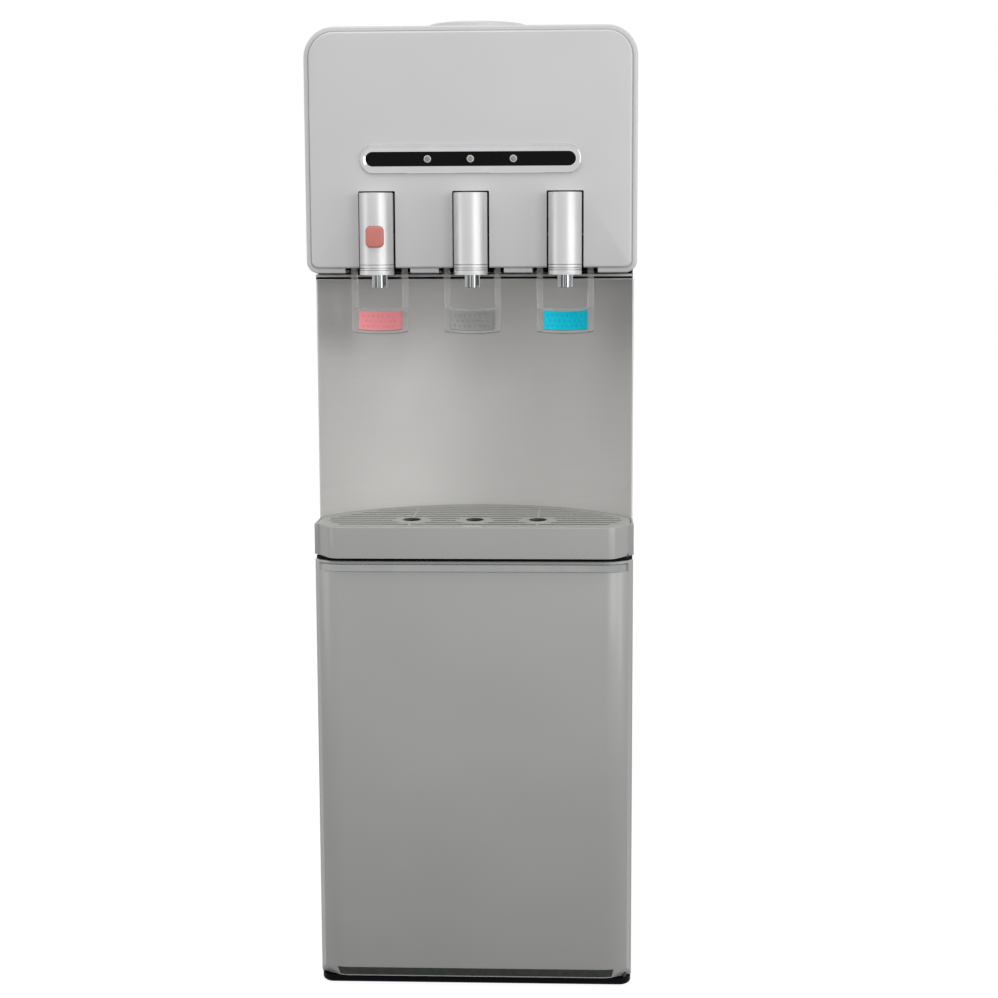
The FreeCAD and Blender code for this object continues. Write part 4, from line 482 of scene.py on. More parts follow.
tray = tray_form("tray_housing_shell", 0, TRAY_LOW, TRAY_TOP)
cant_back = TRAY_FRONT + TRAY_CANT_DEEP
for side in (-1, 1):
    corner_cut = block("corner_cut", (side * 120, -30, 430), (side * 160, cant_back, 470))
    slice_off((side * (TRAY_HALF - TRAY_STEP), cant_back, 0), (-side * TRAY_CANT_DEEP, TRAY_CANT_WIDE, 0))
    cut_away(tray, [corner_cut])
reopen(tray)
round_edges(7, 6, lambda e: along(e, HEIGHT) and on(e, DEPTH, TRAY_FRONT))
pick("FACE", lambda f: on(f, HEIGHT, TRAY_TOP))
bpy.ops.mesh.inset(thickness=TRAY_WALL * MM)
pull_out(height=TRAY_LOW + TRAY_FLOOR - TRAY_TOP)
round_edges(1.4, 4, lambda e: on(e, HEIGHT, TRAY_TOP) and e.calc_face_angle_signed(0) > 0.5)
finished(tray, "case", ["tray_housing"], silver_grey)

# Grille: a moulded plate with rows of slots and a round boss about each of three drain holes, laid
# in the tray so that it lifts out by its tab. Its silver is painted paler than the tray's, as
# painted light from above on its upturned face. The slots get a little narrower towards the back
# and flare out below.
GRILLE_LOW, GRILLE_GAP = 464.2, 0.6
SLOT_ROWS = [10 + 13 * row for row in range(10)]
ROW_HALF, ROW_NARROWING = 2.2, 0.007
SLOT_MARGIN, SLOT_LOW, SLOT_FLARE = 12.3, 464, 2.2
DRAINS, DRAIN_DEPTH, DRAIN_STRETCH = (-62, 0, 62), 38.7, 1.3
DRAIN_RADIUS, DRAIN_THROAT, BOSS_RADIUS, RIB_HALF = 12.4, 8.6, 19, 1
DRAIN_LIP_RADIUS, DRAIN_LIP_TOP = 10.6, 467.6
TAB_HALF, TAB_FRONT, TAB_BACK, TAB_TOP = 9, -5.2, -1.2, 468.2
top_lit_silver = new_finish("top_lit_silver_pearl_abs", "#aeaeab", Metallic=0.08)
grained(top_lit_silver, "#b0b0ad", "#acaca9", (0.34, 0.44), 120, 0.6, 0.01)


def joined(pieces):
    """Several pieces as one."""
    make_active(pieces[0])
    for piece in pieces:
        piece.select_set(True)
    bpy.ops.object.join()
    return pieces[0]


grille = tray_form("grille_plate", TRAY_WALL + GRILLE_GAP, GRILLE_LOW, TRAY_TOP)
slots = tray_form("slot_shapes", SLOT_MARGIN, 463, 469)
rows = []
for depth in SLOT_ROWS:
    half = ROW_HALF - ROW_NARROWING * depth
    rows.append(block("slot_row", (-150, depth - half, SLOT_LOW), (150, depth + half, 467.4)))
    pick("FACE", lambda f: on(f, HEIGHT, SLOT_LOW))
    bpy.ops.transform.resize(value=(1, SLOT_FLARE, 1), center_override=at(0, depth, SLOT_LOW))
cut_away(slots, [joined(rows)], "INTERSECT")
cut_away(slots, [drum("boss", (x, DRAIN_DEPTH), BOSS_RADIUS, 460, 472) for x in DRAINS])
cut_away(slots, [block("rib", (x - RIB_HALF, 0, 460), (x + RIB_HALF, 160, 472)) for x in DRAINS if x])
cut_away(grille, [slots])
for x in DRAINS:
    lip = drum("drain_lip", (x, DRAIN_DEPTH), DRAIN_LIP_RADIUS, 466, DRAIN_LIP_TOP)
    round_edges(0.3, 2, lambda e: on(e, HEIGHT, DRAIN_LIP_TOP))
    hole = drum("drain", (x, DRAIN_DEPTH), DRAIN_RADIUS, 463.6, 467.9, top_radius=DRAIN_THROAT)
    for part in (lip, hole):
        reopen(part)
        bpy.ops.mesh.select_all(action="SELECT")
        bpy.ops.transform.resize(value=(1, DRAIN_STRETCH, 1), center_override=at(x, DRAIN_DEPTH, 466))
    cut_away(grille, [lip], "UNION")
    cut_away(grille, [hole])
tab = block("tab", (-TAB_HALF, TAB_FRONT, 466), (TAB_HALF, TAB_BACK, TAB_TOP))
round_edges(0.8, 2, lambda e: on(e, HEIGHT, TAB_TOP))
cut_away(grille, [tab], "UNION")
finished(grille, "tray_grille", ["drip_grille"], top_lit_silver)

# Bay panel: satin stainless sheet bent to a round plan, with a narrow flat edge down each side.
# Bead blasting after the brushing gives it a soft, cloudy sheen. The brush lines are about
# 0.1 mm apart and drawn at 0.8 mm to show.
BAY_RADIUS, BAY_HEIGHT = 173.7, 265.5
BAY_SIDE, BAY_FRONT, BAY_THICK = 154, 57.45, 1.5
BRUSH_LENGTH, BRUSH_PITCH, CLOUD = 250, 0.8, 90
bay_steel = new_finish("satin_stainless_sheet", "#cdccca", Metallic=0.3)
tree = bay_steel.node_tree
place = add_node(tree, "ShaderNodeTexCoord").outputs["Object"]
stretch = [1 / (size * MM) for size in (BRUSH_LENGTH, BRUSH_LENGTH, BRUSH_PITCH)]
stretched = add_node(tree, "ShaderNodeMapping", {"Scale": stretch}, {"Vector": place})
lines = add_node(tree, "ShaderNodeTexNoise", {"Scale": 1.0, "Detail": 4}, {"Vector": stretched.outputs[0]})
cloud = add_node(tree, "ShaderNodeTexNoise", {"Scale": 1 / (CLOUD * MM), "Detail": 2}, {"Vector": place})
wear = add_node(tree, "ShaderNodeMapRange", {1: 0.3, 2: 0.7, 3: 0.60, 4: 0.70}, {0: cloud.outputs["Fac"]})
tone = add_node(tree, "ShaderNodeMix", {"data_type": "RGBA", 6: linear("#c9c8c6"), 7: linear("#d1d0ce")},
                {0: lines.outputs["Fac"]})
relief = add_node(tree, "ShaderNodeBump", {"Distance": 0.01 * MM, "Strength": 0.4},
                  {"Height": lines.outputs["Fac"]})
link_surface(bay_steel, tone, wear, relief)

clear_bench()
bpy.ops.mesh.primitive_circle_add(vertices=240, radius=BAY_RADIUS * MM, location=at(*TRAY_CENTRE, TRAY_LOW))
bay = start_shaping("bay_sheet")
pick("VERT", lambda v: spots(v)[0].y < BAY_FRONT + 1.05)
bpy.ops.mesh.delete(type="VERT")
pick("EDGE", lambda e: True)
pull_out(height=BAY_HEIGHT)
for side in (-1, 1):
    pick("EDGE", lambda e: along(e, HEIGHT) and spots(e)[0].y < 62 and spots(e)[0].x * side > 0)
    pull_out()
    bpy.ops.transform.resize(value=(0, 0, 1), center_override=at(side * BAY_SIDE, BAY_FRONT, 500))
bpy.ops.mesh.select_all(action="SELECT")
bpy.ops.mesh.normals_make_consistent(inside=True)
apply_change(bay, "SOLIDIFY", thickness=BAY_THICK * MM, offset=-1)
finished(bay, "case", ["recess_panel"], bay_steel, angle=25)

# Head floor: a moulded shelf that carries the cold tank. Its lip closes the head over the bay, and
# a groove along the lip holds a black strip of painted shade.
SHELF_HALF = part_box("head_floor")[1].x / MM
SHELF_FRONT, SHELF_BACK = 40.5, 298
SHELF_LOW, SHELF_TOP = 702.1, 704.6
LIP_LOW, LIP_TOP, LIP_BACK = 702, 707.3, 43
GROOVE_LOW, GROOVE_TOP, GROOVE_BACK = 702.8, 704.9, 42.5
TUBE_HOLES, TUBE_HOLE_RADIUS = ((-88.9, 209.3), (0, 180)), 5
shelf = block("head_floor_shelf", (-SHELF_HALF, SHELF_FRONT, SHELF_LOW), (SHELF_HALF, SHELF_BACK, SHELF_TOP))
shelf_lip = block("shelf_lip", (-SHELF_HALF, SHELF_FRONT, LIP_LOW), (SHELF_HALF, LIP_BACK, LIP_TOP))
round_edges(0.6, 2, lambda e: along(e, X) and on(e, DEPTH, SHELF_FRONT))
cut_away(shelf, [shelf_lip], "UNION")
cut_away(shelf, [block("shade_strip_groove", (-160, 39, GROOVE_LOW), (160, GROOVE_BACK, GROOVE_TOP))])
cut_away(shelf, [drum("tube_hole", place, TUBE_HOLE_RADIUS, 700, 706, 32) for place in TUBE_HOLES])
finished(shelf, "case", ["head_floor"], light_silver)

# Shade strips: black strips with a sponge texture, which paint shade into gaps. One in the shelf's
# groove paints the shadow gap over the bay, one behind each notch of the head paints the dark
# notch, and one on the door's top paints the shadow under the tray.
NOTCH_SHADE_FRONT, NOTCH_SHADE_LOW, NOTCH_SHADE_TOP = 38.2, 709.2, 716
TOP_SHADE_THICK = 2.4
gap_shade_black = new_finish("painted_gap_shade", "#0d0d0d", Specular_IOR_Level=0.1)
grained(gap_shade_black, "#111111", "#090909", (0.8, 0.95), 12, 0.9, 0.2)
for name, low, high in [
    ("head_floor_shade_strip", (-SHELF_HALF, 41, GROOVE_LOW), (SHELF_HALF, GROOVE_BACK, GROOVE_TOP)),
] + [
    (f"{tap}_notch_shade_strip", (x - NOTCH_HALF, NOTCH_SHADE_FRONT, NOTCH_SHADE_LOW),
     (x + NOTCH_HALF, NOTCH_BACK, NOTCH_SHADE_TOP))
    for tap, x in TAPS.items()
]:
    shade_strip = block(name, low, high)
    round_edges(0.5, 2, lambda e: e.is_manifold)
    finished(shade_strip, "case", [], gap_shade_black)
apply_change(top_gap_shade, "SOLIDIFY", thickness=TOP_SHADE_THICK * MM, offset=1)
finished(top_gap_shade, "door", [], gap_shade_black)

# Lid of the head: moulded in the head's plastic, and closed in front by the head front. The
# bottle's collar stands on its low dome.
BOTTLE = (0, 143)
LID_LOW, LID_BACK, LID_WALL = 904.5, 302.25, 1.95
DOME_LOW, DOME_TOP = 936.5, 943.5
DOME_RADIUS, DOME_TOP_RADIUS, NECK_HOLE_RADIUS = 78.6, 66, 39
lid_half, hollow_top = HEAD_HALF - LID_WALL, HEAD_TOP - RIM_WALL
cover = block("top_cover_shell", (-HEAD_HALF, HEAD_BACK, LID_LOW), (HEAD_HALF, LID_BACK, HEAD_TOP))
round_edges(TOP_CORNER, 14, lambda e: along(e, DEPTH) and on(e, HEIGHT, HEAD_TOP))
round_edges(5, 4, lambda e: on(e, DEPTH, LID_BACK) and not on(e, HEIGHT, LID_LOW))
cover_hollow = block("cover_hollow", (-lid_half, 50, 890), (lid_half, LID_BACK - LID_WALL, hollow_top))
round_edges(TOP_CORNER - 2, 14, lambda e: along(e, DEPTH) and on(e, HEIGHT, hollow_top))
dome = drum("dome", BOTTLE, DOME_RADIUS, DOME_LOW, DOME_TOP, 96, DOME_TOP_RADIUS)
round_edges(1.5, 3, lambda e: on(e, HEIGHT, DOME_TOP))
cut_away(cover, [cover_hollow])
cut_away(cover, [dome], "UNION")
cut_away(cover, [drum("neck_hole", BOTTLE, NECK_HOLE_RADIUS, 900, 960, 96)])
finished(cover, "case", ["top_cover"], light_silver)

# Collar: a moulded ring that centres the upside-down bottle on the lid, with a foot flange and a
# rounded top edge. The white funnel inside it holds the neck.
FLANGE_RADIUS, FLANGE_WIDTH, FLANGE_TOP = 58, 8, 944.75
COLLAR_TOP, COLLAR_BORE = 952.5, 45
collar = drum("bottle_collar_ring", BOTTLE, FLANGE_RADIUS, DOME_TOP, FLANGE_TOP, 96)
pick("FACE", lambda f: on(f, HEIGHT, FLANGE_TOP))
bpy.ops.mesh.inset(thickness=FLANGE_WIDTH * MM)
pull_out(height=COLLAR_TOP - FLANGE_TOP)
round_edges(1, 3, lambda e: on(e, HEIGHT, FLANGE_TOP) and e.calc_face_angle_signed(0) < -0.5)
cut_away(collar, [drum("collar_bore", BOTTLE, COLLAR_BORE, 930, 960, 96)])
reopen(collar)
round_edges(2, 4, lambda e: on(e, HEIGHT, COLLAR_TOP))
finished(collar, "case", ["bottle_collar"], light_silver)

# Funnel, cabinet, door's back, drain plug and valve bodies: high-impact polystyrene, moulded
# white. It is smooth, with a low gloss and a slight waviness.


def keep_nodes(names, finish):
    """Gives nodes that stay as the construction made them their material."""
    for name in names:
        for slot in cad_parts[name].material_slots:
            slot.material = finish


white_moulding = new_finish("white_polystyrene", "#e8e7e1", IOR=1.59)
grained(white_moulding, "#e9e8e3", "#e6e5df", (0.30, 0.40), 60, 1.5, 0.03)
keep_nodes(["bottle_funnel", "cabinet_liner", "door_back_panel", "drain_plug"], white_moulding)
keep_nodes([f"{tap}_valve_body" for tap in TAPS], white_moulding)

# Tap covers: barrels moulded in a brighter silver, round in front and flat behind, with three
# fine grooves round the foot. The hot one has a pocket for the child lock.
BARREL_CENTRE, BARREL_RADIUS, BARREL_BACK = -7.65, 15.65, 3
BARREL_LOW, BARREL_TOP = 707.7, 784.3
GROOVES, GROOVE_WIDTH, GROOVE_DEPTH = (711.9, 713.9, 716.9), 0.7, 3.2
BUTTON_HALF, BUTTON_LOW, BUTTON_TOP = 8.2, 733.7, 753.1
BUTTON_FRONT, BUTTON_BACK, BUTTON_CORNER, BUTTON_GAP = -26.3, -15.8, 4, 0.3
barrel_silver = new_finish("bright_silver_pearl_abs", "#c8c8c8", Metallic=0.5,
                           Coat_Weight=0.3, Coat_Roughness=0.3)
grained(barrel_silver, "#cbcbcb", "#c4c4c5", (0.40, 0.47), 50, 0.5, 0.001)


def copied(piece, name, shift):
    """A copy of a shaped piece with a mesh of its own, moved across by millimetres."""
    clear_bench()
    twin = piece.copy()
    twin.data = piece.data.copy()
    twin.data.transform(Matrix.Translation((shift * MM, 0, 0)))
    twin.name = name
    bpy.context.scene.collection.objects.link(twin)
    return twin


barrel = drum("normal_barrel", (0, BARREL_CENTRE), BARREL_RADIUS, BARREL_LOW, BARREL_TOP, 72)
pick("VERT", lambda v: spots(v)[0].y > BARREL_CENTRE + 0.05)
bpy.ops.transform.resize(value=(1, 0, 1), center_override=at(0, BARREL_BACK, 745))
for groove in GROOVES:
    for height in (groove, groove + GROOVE_WIDTH):
        bpy.ops.mesh.select_all(action="SELECT")
        bpy.ops.mesh.bisect(plane_co=at(0, 0, height), plane_no=(0, 0, 1))
    pick("FACE", lambda f: between(f, HEIGHT, groove - 0.05, groove + GROOVE_WIDTH + 0.05))
    bpy.ops.mesh.extrude_region_shrink_fatten(TRANSFORM_OT_shrink_fatten={"value": -GROOVE_DEPTH * MM})
round_edges(0.9, 3, lambda e: on(e, HEIGHT, BARREL_TOP) and not on(e, DEPTH, BARREL_BACK))
round_edges(1.5, 3, lambda e: on(e, HEIGHT, BARREL_LOW) and not on(e, DEPTH, BARREL_BACK))
for tap, x in TAPS.items():
    cover = copied(barrel, f"{tap}_barrel_cover", x)
    if tap == "hot":
        reach = BUTTON_HALF + BUTTON_GAP
        pocket = block("button_pocket", (x - reach, -40, BUTTON_LOW - BUTTON_GAP),
                       (x + reach, BUTTON_BACK, BUTTON_TOP + BUTTON_GAP))
        round_edges(BUTTON_CORNER + BUTTON_GAP, 6, lambda e: along(e, DEPTH))
        cut_away(cover, [pocket])
    finished(cover, "case", [f"{tap}_tap_cover"], barrel_silver)
bpy.data.objects.remove(barrel)

# Child lock: a button in coral red ABS with rounded corners and edges, pushed in before the hot
# lever gives water.
button_red = new_finish("coral_red_abs", "#c97870")
grained(button_red, "#cc7c74", "#c5756d", (0.36, 0.46), 20, 0.5, 0.01)
button = block("lock_button_cap", (TAPS["hot"] - BUTTON_HALF, BUTTON_FRONT, BUTTON_LOW),
               (TAPS["hot"] + BUTTON_HALF, BUTTON_BACK, BUTTON_TOP))
round_edges(BUTTON_CORNER, 6, lambda e: along(e, DEPTH))
round_edges(1.3, 3, lambda e: on(e, DEPTH, BUTTON_FRONT))
finished(button, "lock_button", ["child_lock_button"], button_red)

# Spouts: brass nozzles with twelve flutes, plated with bright chrome, which mirrors its
# surroundings at a little under half their light.
SPOUT_DEPTH, SPOUT_RADIUS = 20, 7.5
SPOUT_LOW, SPOUT_TOP = 695.3, 713
SPOUT_SIDES, FLUTE_SHARE, BORE_DEPTH = 48, 0.62, 14
bright_metal = new_finish("bright_chrome_plate", "#b4b5b6", Metallic=1.0)
grained(bright_metal, "#b8b9ba", "#aeb0b1", (0.04, 0.09), 30, 4, 0.002)


def in_flute(point):
    """Whether a point is one of the two in every four that a flute draws in."""
    turn = math.atan2(spots(point)[0].y - SPOUT_DEPTH, spots(point)[0].x)
    return round(turn / math.tau * SPOUT_SIDES) % 4 < 2


spout = drum("spout", (0, SPOUT_DEPTH), SPOUT_RADIUS, SPOUT_LOW, SPOUT_TOP, SPOUT_SIDES)
pick("VERT", in_flute)
bpy.ops.transform.resize(value=(FLUTE_SHARE, FLUTE_SHARE, 1), center_override=at(0, SPOUT_DEPTH, 700))
pick("FACE", lambda f: on(f, HEIGHT, SPOUT_LOW))
bpy.ops.mesh.inset(thickness=0.4 * MM, depth=0.4 * MM)
bpy.ops.mesh.inset(thickness=0.6 * MM)
pull_out(height=BORE_DEPTH)
for tap, x in TAPS.items():
    nozzle = copied(spout, f"{tap}_spout_nozzle", x)
    finished(nozzle, "case", [f"{tap}_spout"], bright_metal, 25)
bpy.data.objects.remove(spout)

# Indicator frame: ABS under a fresh, bright nickel plate, with a rounded outer ring, a fine
# groove and a slope down to the window. It lies on the head front.
INDICATOR_HEIGHT = 815.7
FRAME_LENGTH, FRAME_HEIGHT, FRAME_FRONT = 208, 27, -2.6
HOLE_LENGTH, HOLE_HEIGHT = 198, 13.6
nickel = new_finish("bright_nickel_plate", "#c9c9ca", Metallic=1.0)
grained(nickel, "#cccccd", "#c5c5c6", (0.05, 0.10), 30, 4, 0.002)


def rod(name, axis, middle, radius, length, sides=32):
    """A round bar that lies across the machine or from front to back."""
    clear_bench()
    bpy.ops.mesh.primitive_cylinder_add(
        vertices=sides, radius=radius * MM, depth=length * MM, location=at(*middle),
        rotation=(0, math.pi / 2, 0) if axis == X else (math.pi / 2, 0, 0),
    )
    return start_shaping(name)


def stadium(name, length, height, front, back):
    """A long form with round ends, lying across the head."""
    piece = rod(name, DEPTH, (0, (front + back) / 2, INDICATOR_HEIGHT), height / 2, back - front, 64)
    for side in (-1, 1):
        pick("VERT", lambda v: spots(v)[0].x * side > 0.1)
        bpy.ops.transform.translate(value=(side * (length - height) / 2 * MM, 0, 0))
    return piece


bezel = stadium("indicator_frame", FRAME_LENGTH, FRAME_HEIGHT, FRAME_FRONT, 0)
round_edges(1.1, 3, lambda e: on(e, DEPTH, FRAME_FRONT))
pick("FACE", lambda f: on(f, DEPTH, FRAME_FRONT))
bpy.ops.mesh.inset(thickness=1.1 * MM)
bpy.ops.mesh.inset(thickness=0.1 * MM, depth=-1.6 * MM)
bpy.ops.mesh.inset(thickness=0.7 * MM)
bpy.ops.mesh.inset(thickness=0.1 * MM, depth=1.3 * MM)
bpy.ops.mesh.inset(thickness=3.3 * MM, depth=-1.1 * MM)
cut_away(bezel, [stadium("window_hole", HOLE_LENGTH, HOLE_HEIGHT, -10, 10)])
finished(bezel, "case", ["indicator_bezel"], nickel, 25)

# Indicator window and lenses: the window is polycarbonate smoked nearly black, which reflects
# like dark glass. Each of its three lenses is a milky acrylic dome in a pale printed ring.
LENS_PITCH = 40.4
RING, DOME = (3.4, -1.75, 0), (2.5, -2.0, -1)
smoked = new_finish("smoked_polycarbonate", "#0a0b09", Specular_IOR_Level=0.07)
grained(smoked, "#0c0e0b", "#080907", (0.05, 0.10), 40, 6, 0.01)
keep_nodes(["indicator_window"], smoked)
milky = new_finish("milky_acrylic", "#8d8a88", IOR=1.49)
grained(milky, "#95918e", "#7e7b79", (0.15, 0.25), 2, 0.4, 0.02)
pale_ring = new_finish("pale_printed_ring", "#c6c5c3")
grained(pale_ring, "#cac9c7", "#bfbebc", (0.3, 0.4), 2, 0.4, 0.01)
lens_parts = []
for x in (-LENS_PITCH, 0, LENS_PITCH):
    for radius, front, back in (RING, DOME):
        middle = (x, (front + back) / 2, INDICATOR_HEIGHT)
        lens_parts.append(rod("lens", DEPTH, middle, radius, back - front))
        round_edges(0.25, 2, lambda e: on(e, DEPTH, front))
for name, parts, finish in (
    ("indicator_rings", lens_parts[0::2], pale_ring),
    ("indicator_lens_domes", lens_parts[1::2], milky),
):
    group = joined(parts)
    group.name = name
    finished(group, "case", ["indicator_lenses"], finish)

# Levers: stirrups moulded in clear acrylic. Two straight rails hang from the pins and end in a
# hollow paddle with rounded lower corners, and two short fingers lift the valve's stem.
PADDLE_DEPTH, PADDLE_TOP, PADDLE_HEIGHT = 25, 676, 24
PADDLE_TILT = math.radians(17)
PADDLE_RADIUS, PADDLE_THICK = 45.75, 3
PADDLE_CENTRE = (0, PADDLE_DEPTH + 7 - PADDLE_RADIUS)
RAIL_INNER, RAIL_OUTER = 21.25, 27.25
STIRRUP_HALF, RAIL_REACH, FOOT_CORNER = 26.9, 2, 3.5
PIVOT = (10.5, 746)
FOOT = (PADDLE_DEPTH - PADDLE_HEIGHT * math.sin(PADDLE_TILT),
        PADDLE_TOP - PADDLE_HEIGHT * math.cos(PADDLE_TILT))
EYE = (4, PIVOT, RAIL_INNER, RAIL_OUTER)
FINGER = (1.5, (20, 745.2), 3.5, 21.5)
ARM_FRONT, ARM_BACK, ARM_LOW, ARM_TOP = 10.5, 21.5, 743.2, 747.2
PIN_HOLE_RADIUS = 1.6
clear = new_finish("clear_moulded_acrylic", "#e9e8e7", IOR=1.49, Transmission_Weight=0.9)
grained(clear, "#ecebea", "#e5e4e3", (0.10, 0.15), 15, 3, 0.004)


def tip_forward():
    """Tilts everything in the piece in hand about the paddle's upper edge."""
    bpy.ops.mesh.select_all(action="SELECT")
    bpy.ops.transform.rotate(value=PADDLE_TILT, orient_axis="X", orient_type="GLOBAL",
                             center_override=at(0, PADDLE_DEPTH, PADDLE_TOP))


def paddle_layer(name, half, inner, outer, low, high, corner, corner_heights):
    """A hollow-fronted layer of the paddle, upright, with its corners rounded at some heights."""
    layer = drum(name, PADDLE_CENTRE, outer, low, high, 192)
    cut_away(layer, [drum("layer_bore", PADDLE_CENTRE, inner, low - 5, high + 5, 192)])
    reopen(layer)
    for side in (-1, 1):
        slice_off((side * half, 0, 0), (side, 0, 0))
    slice_off((0, PADDLE_CENTRE[1], 0), (0, -1, 0))
    bpy.ops.mesh.dissolve_limited(angle_limit=0.003)
    round_edges(corner, 5, lambda e: all(abs(abs(spot.x) - half) < 0.1 for spot in spots(e))
                and any(on(e, HEIGHT, height) for height in corner_heights))
    return layer


foot_low = PADDLE_TOP - PADDLE_HEIGHT
lever = paddle_layer("stirrup", STIRRUP_HALF, PADDLE_RADIUS, PADDLE_RADIUS + PADDLE_THICK,
                     foot_low, PADDLE_TOP, 3.2, [foot_low])
tip_forward()
for side in (-1, 1):
    rail = block("rail", (side * RAIL_INNER, -RAIL_REACH, FOOT[1]),
                 (side * RAIL_OUTER, RAIL_REACH, PIVOT[1]))
    bpy.ops.mesh.select_all(action="SELECT")
    bpy.ops.mesh.bisect(plane_co=at(0, 0, PADDLE_TOP), plane_no=(0, 0, 1))
    for depth, height in (FOOT, (PADDLE_DEPTH, PADDLE_TOP), PIVOT):
        pick("VERT", lambda v: on(v, HEIGHT, height))
        bpy.ops.transform.translate(value=(0, depth * MM, 0))
    round_edges(FOOT_CORNER, 5, lambda e: on(e, X, side * RAIL_OUTER) and on(e, HEIGHT, FOOT[1]))
    round_edges(0.5, 2, lambda e: abs(spots(e)[0].z - spots(e)[1].z) > 10)
    parts = [rail]
    for radius, place, low, high in (EYE, FINGER):
        parts.append(rod("round_part", X, (side * (low + high) / 2, *place), radius, high - low))
    parts.append(block("finger_arm", (side * RAIL_INNER, ARM_FRONT, ARM_LOW),
                       (side * RAIL_OUTER, ARM_BACK, ARM_TOP)))
    cut_away(lever, parts, "UNION")
cut_away(lever, [rod("pin_hole", X, (0, *PIVOT), PIN_HOLE_RADIUS, 70, 24)])
for tap, x in TAPS.items():
    stirrup = copied(lever, f"{tap}_lever_stirrup", x)
    finished(stirrup, f"{tap}_lever_body", [f"{tap}_lever"], clear)
bpy.data.objects.remove(lever)

# Lever pads: soft tinted thermoplastic rubber, moulded over the paddle, with three staggered rows
# of small round bumps for grip. The grey one lets some light through.
PAD_TINTS = {
    "hot": ("#f2999e", "#ed9499"),
    "normal": ("#bcbcbc", "#b5b5b5"),
    "cold": ("#00c6df", "#00c0d9"),
}
PAD_CLARITY = {"hot": 0, "normal": 0.45, "cold": 0}
PAD_HALF, PAD_THICK = 21, 1.4
PAD_LOW, PAD_HIGH = PADDLE_TOP - 21.25, PADDLE_TOP - 2.75
BUMPS_IN_ROW, BUMP_PITCH = 8, 5.1
BUMP_RADIUS, BUMP_FLATNESS = 1.5, 0.4
reach = PADDLE_RADIUS - PAD_THICK
pad = paddle_layer("pad", PAD_HALF, reach, PADDLE_RADIUS, PAD_LOW, PAD_HIGH, 1.2, [PAD_LOW, PAD_HIGH])
bumps = []
for row in range(3):
    in_row = BUMPS_IN_ROW - row % 2
    for place in range(in_row):
        turn = (place - (in_row - 1) / 2) * BUMP_PITCH / PADDLE_RADIUS
        clear_bench()
        bpy.ops.mesh.primitive_uv_sphere_add(
            segments=12, ring_count=6, radius=BUMP_RADIUS * MM,
            location=at(reach * math.sin(turn), PADDLE_CENTRE[1] + reach * math.cos(turn),
                        (PAD_LOW + PAD_HIGH) / 2 + (row - 1) * BUMP_PITCH),
        )
        bpy.context.object.scale = (1, BUMP_FLATNESS, 1)
        bumps.append(start_shaping("bump"))
reopen(joined([pad, *bumps]))
tip_forward()
for tap, x in TAPS.items():
    pad_rubber = new_finish(f"{tap}_tinted_soft_rubber", PAD_TINTS[tap][0], Specular_IOR_Level=0.15,
                            Transmission_Weight=PAD_CLARITY[tap])
    grained(pad_rubber, *PAD_TINTS[tap], (0.38, 0.48), 8, 0.5, 0.01)
    grip = copied(pad, f"{tap}_lever_grip", x)
    finished(grip, f"{tap}_lever_body", [f"{tap}_lever_pad"], pad_rubber)
bpy.data.objects.remove(pad)

# Base: a black ABS tray on four rubber feet, with rounded front corners and an upright rim. The
# switch housing and the cord's gland are moulded in the same plastic. The drip pan gets it too, as
# painted shade seen down the grille's slots and drain holes.
BASE_HALF, BASE_FRONT, BASE_BACK = 154.6, 10, 300
BASE_LOW, BASE_TOP, BASE_RIM_TOP = 2, 10, 24
BASE_RIM_HALF, BASE_RIM_FRONT, BASE_RIM_BACK, BASE_WALL = 153.2, 26.5, 298, 2.5
black_moulding_and_pan_shade = new_finish("black_textured_abs_and_pan_shade", "#07080d", Specular_IOR_Level=0.05)
grained(black_moulding_and_pan_shade, "#090a10", "#05060a", (0.35, 0.5), 40, 0.6, 0.05)
base = block("base_tray", (-BASE_HALF, BASE_FRONT, BASE_LOW), (BASE_HALF, BASE_BACK, BASE_TOP))
round_edges(12, 8, lambda e: along(e, HEIGHT) and on(e, DEPTH, BASE_FRONT))
round_edges(3.5, 4, lambda e: on(e, HEIGHT, BASE_LOW))
rim = block("rim", (-BASE_RIM_HALF, BASE_RIM_FRONT, 9), (BASE_RIM_HALF, BASE_RIM_BACK, BASE_RIM_TOP))
cut_away(base, [rim], "UNION")
well_half = BASE_RIM_HALF - BASE_WALL
well = block("well", (-well_half, BASE_RIM_FRONT + BASE_WALL, 7), (well_half, BASE_RIM_BACK - BASE_WALL, 30))
cut_away(base, [well])
finished(base, "case", ["base_plinth"], black_moulding_and_pan_shade)
keep_nodes(["switch_housing", "cord_gland", "drip_pan"], black_moulding_and_pan_shade)
foot_rubber = new_finish("black_rubber", "#161616")
grained(foot_rubber, "#191919", "#121212", (0.6, 0.8), 10, 0.8, 0.05)
keep_nodes(["rubber_feet"], foot_rubber)

# Sides: folded steel sheet with a grey powder coat, which is baked on and has the fine waviness
# of an orange skin.
powder_coat = new_finish("grey_powder_coat", "#989997")
grained(powder_coat, "#999a98", "#969795", (0.42, 0.55), 150, 1.2, 0.06)
keep_nodes(["left_side_panel", "right_side_panel"], powder_coat)

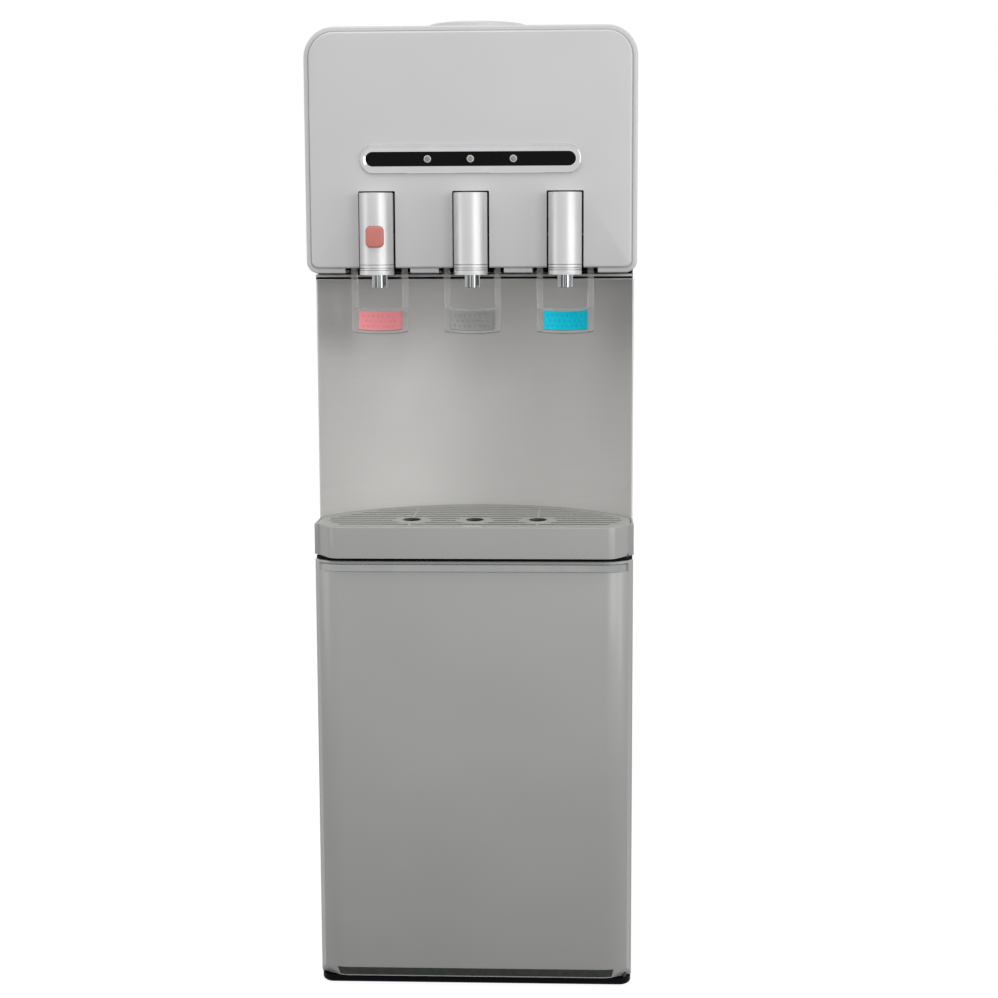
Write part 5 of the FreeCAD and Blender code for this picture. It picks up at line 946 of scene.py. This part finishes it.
# Back: steel sheet painted black, like the hinge pins. The tap bracket gets the same black as
# painted shade, which makes the notches under the taps dark. The condenser's tube and wire and
# the compressor's shell have a glossier black enamel.
black_paint_and_notch_shade = new_finish("black_painted_sheet_and_notch_shade", "#1b1b1c")
grained(black_paint_and_notch_shade, "#1e1e1f", "#181819", (0.45, 0.6), 120, 1.0, 0.05)
keep_nodes(["rear_panel", "tap_bracket", "hinge_pins"], black_paint_and_notch_shade)
black_enamel = new_finish("black_enamel", "#0e0e0f", Coat_Weight=0.5)
grained(black_enamel, "#111112", "#0b0b0c", (0.25, 0.38), 30, 1.5, 0.05)
keep_nodes(["condenser", "compressor"], black_enamel)

# Tanks: spun from stainless steel, which leaves it satin. The cold one stands in a moulded
# jacket of polyurethane foam with fine open pores.
foam = new_finish("moulded_polyurethane_foam", "#e5dcc0")
grained(foam, "#eae2c8", "#d8cda9", (0.7, 0.9), 12, 1.6, 0.3)
keep_nodes(["cold_tank_foam"], foam)
spun_steel = new_finish("spun_stainless_steel", "#bcbcba", Metallic=1.0)
grained(spun_steel, "#c1c1bf", "#b2b2b0", (0.25, 0.38), 25, 0.8, 0.02)
keep_nodes(["cold_tank", "hot_tank"], spun_steel)

# Tubes and valve stems: food-grade silicone rubber, extruded for the tubes and moulded for the
# stems. It is milky and slightly dull.
silicone = new_finish("milky_silicone", "#dcdbd5", IOR=1.41)
grained(silicone, "#e0dfda", "#d3d2cb", (0.35, 0.5), 10, 1.0, 0.02)
keep_nodes(["water_tubes"] + [f"{tap}_valve_stem" for tap in TAPS], silicone)

# Small metal parts: the case's screws are zinc plated, which looks bluish and a little cloudy.
# The levers' pins and all springs are drawn steel, brighter and warmer.
zinc = new_finish("zinc_plated_sheet", "#aeb1b4", Metallic=1.0)
grained(zinc, "#b6b9bd", "#a1a4a8", (0.3, 0.45), 9, 0.9, 0.02)
keep_nodes(["case_screws"], zinc)
drawn_steel = new_finish("drawn_steel_wire", "#b5b4b1", Metallic=1.0)
grained(drawn_steel, "#bbbab7", "#a9a8a5", (0.22, 0.34), 6, 0.5, 0.01)
keep_nodes(["lever_pivot_pins", "child_lock_spring"], drawn_steel)
keep_nodes([f"{tap}_valve_spring" for tap in TAPS], drawn_steel)

# Indicator board: glass and epoxy laminate under a green lacquer, behind the window. The glass
# cloth shows as a slight relief.
laminate = new_finish("green_circuit_laminate", "#1f5a35")
grained(laminate, "#24663d", "#194c2b", (0.3, 0.45), 5, 0.6, 0.03)
keep_nodes(["indicator_board"], laminate)

# Rockers: the two snap-in switches at the back, moulded in polycarbonate in polished tools, red
# for the heater and green for the cooling.
ROCKER_TINTS = {"hot_switch": ("#b5161b", "#a81217"), "cold_switch": ("#1f7e3d", "#1a7236")}
for node, (light, dark) in ROCKER_TINTS.items():
    rocker_plastic = new_finish(f"{node}_polycarbonate", light)
    grained(rocker_plastic, light, dark, (0.2, 0.3), 10, 0.8, 0.02)
    keep_nodes([node], rocker_plastic)
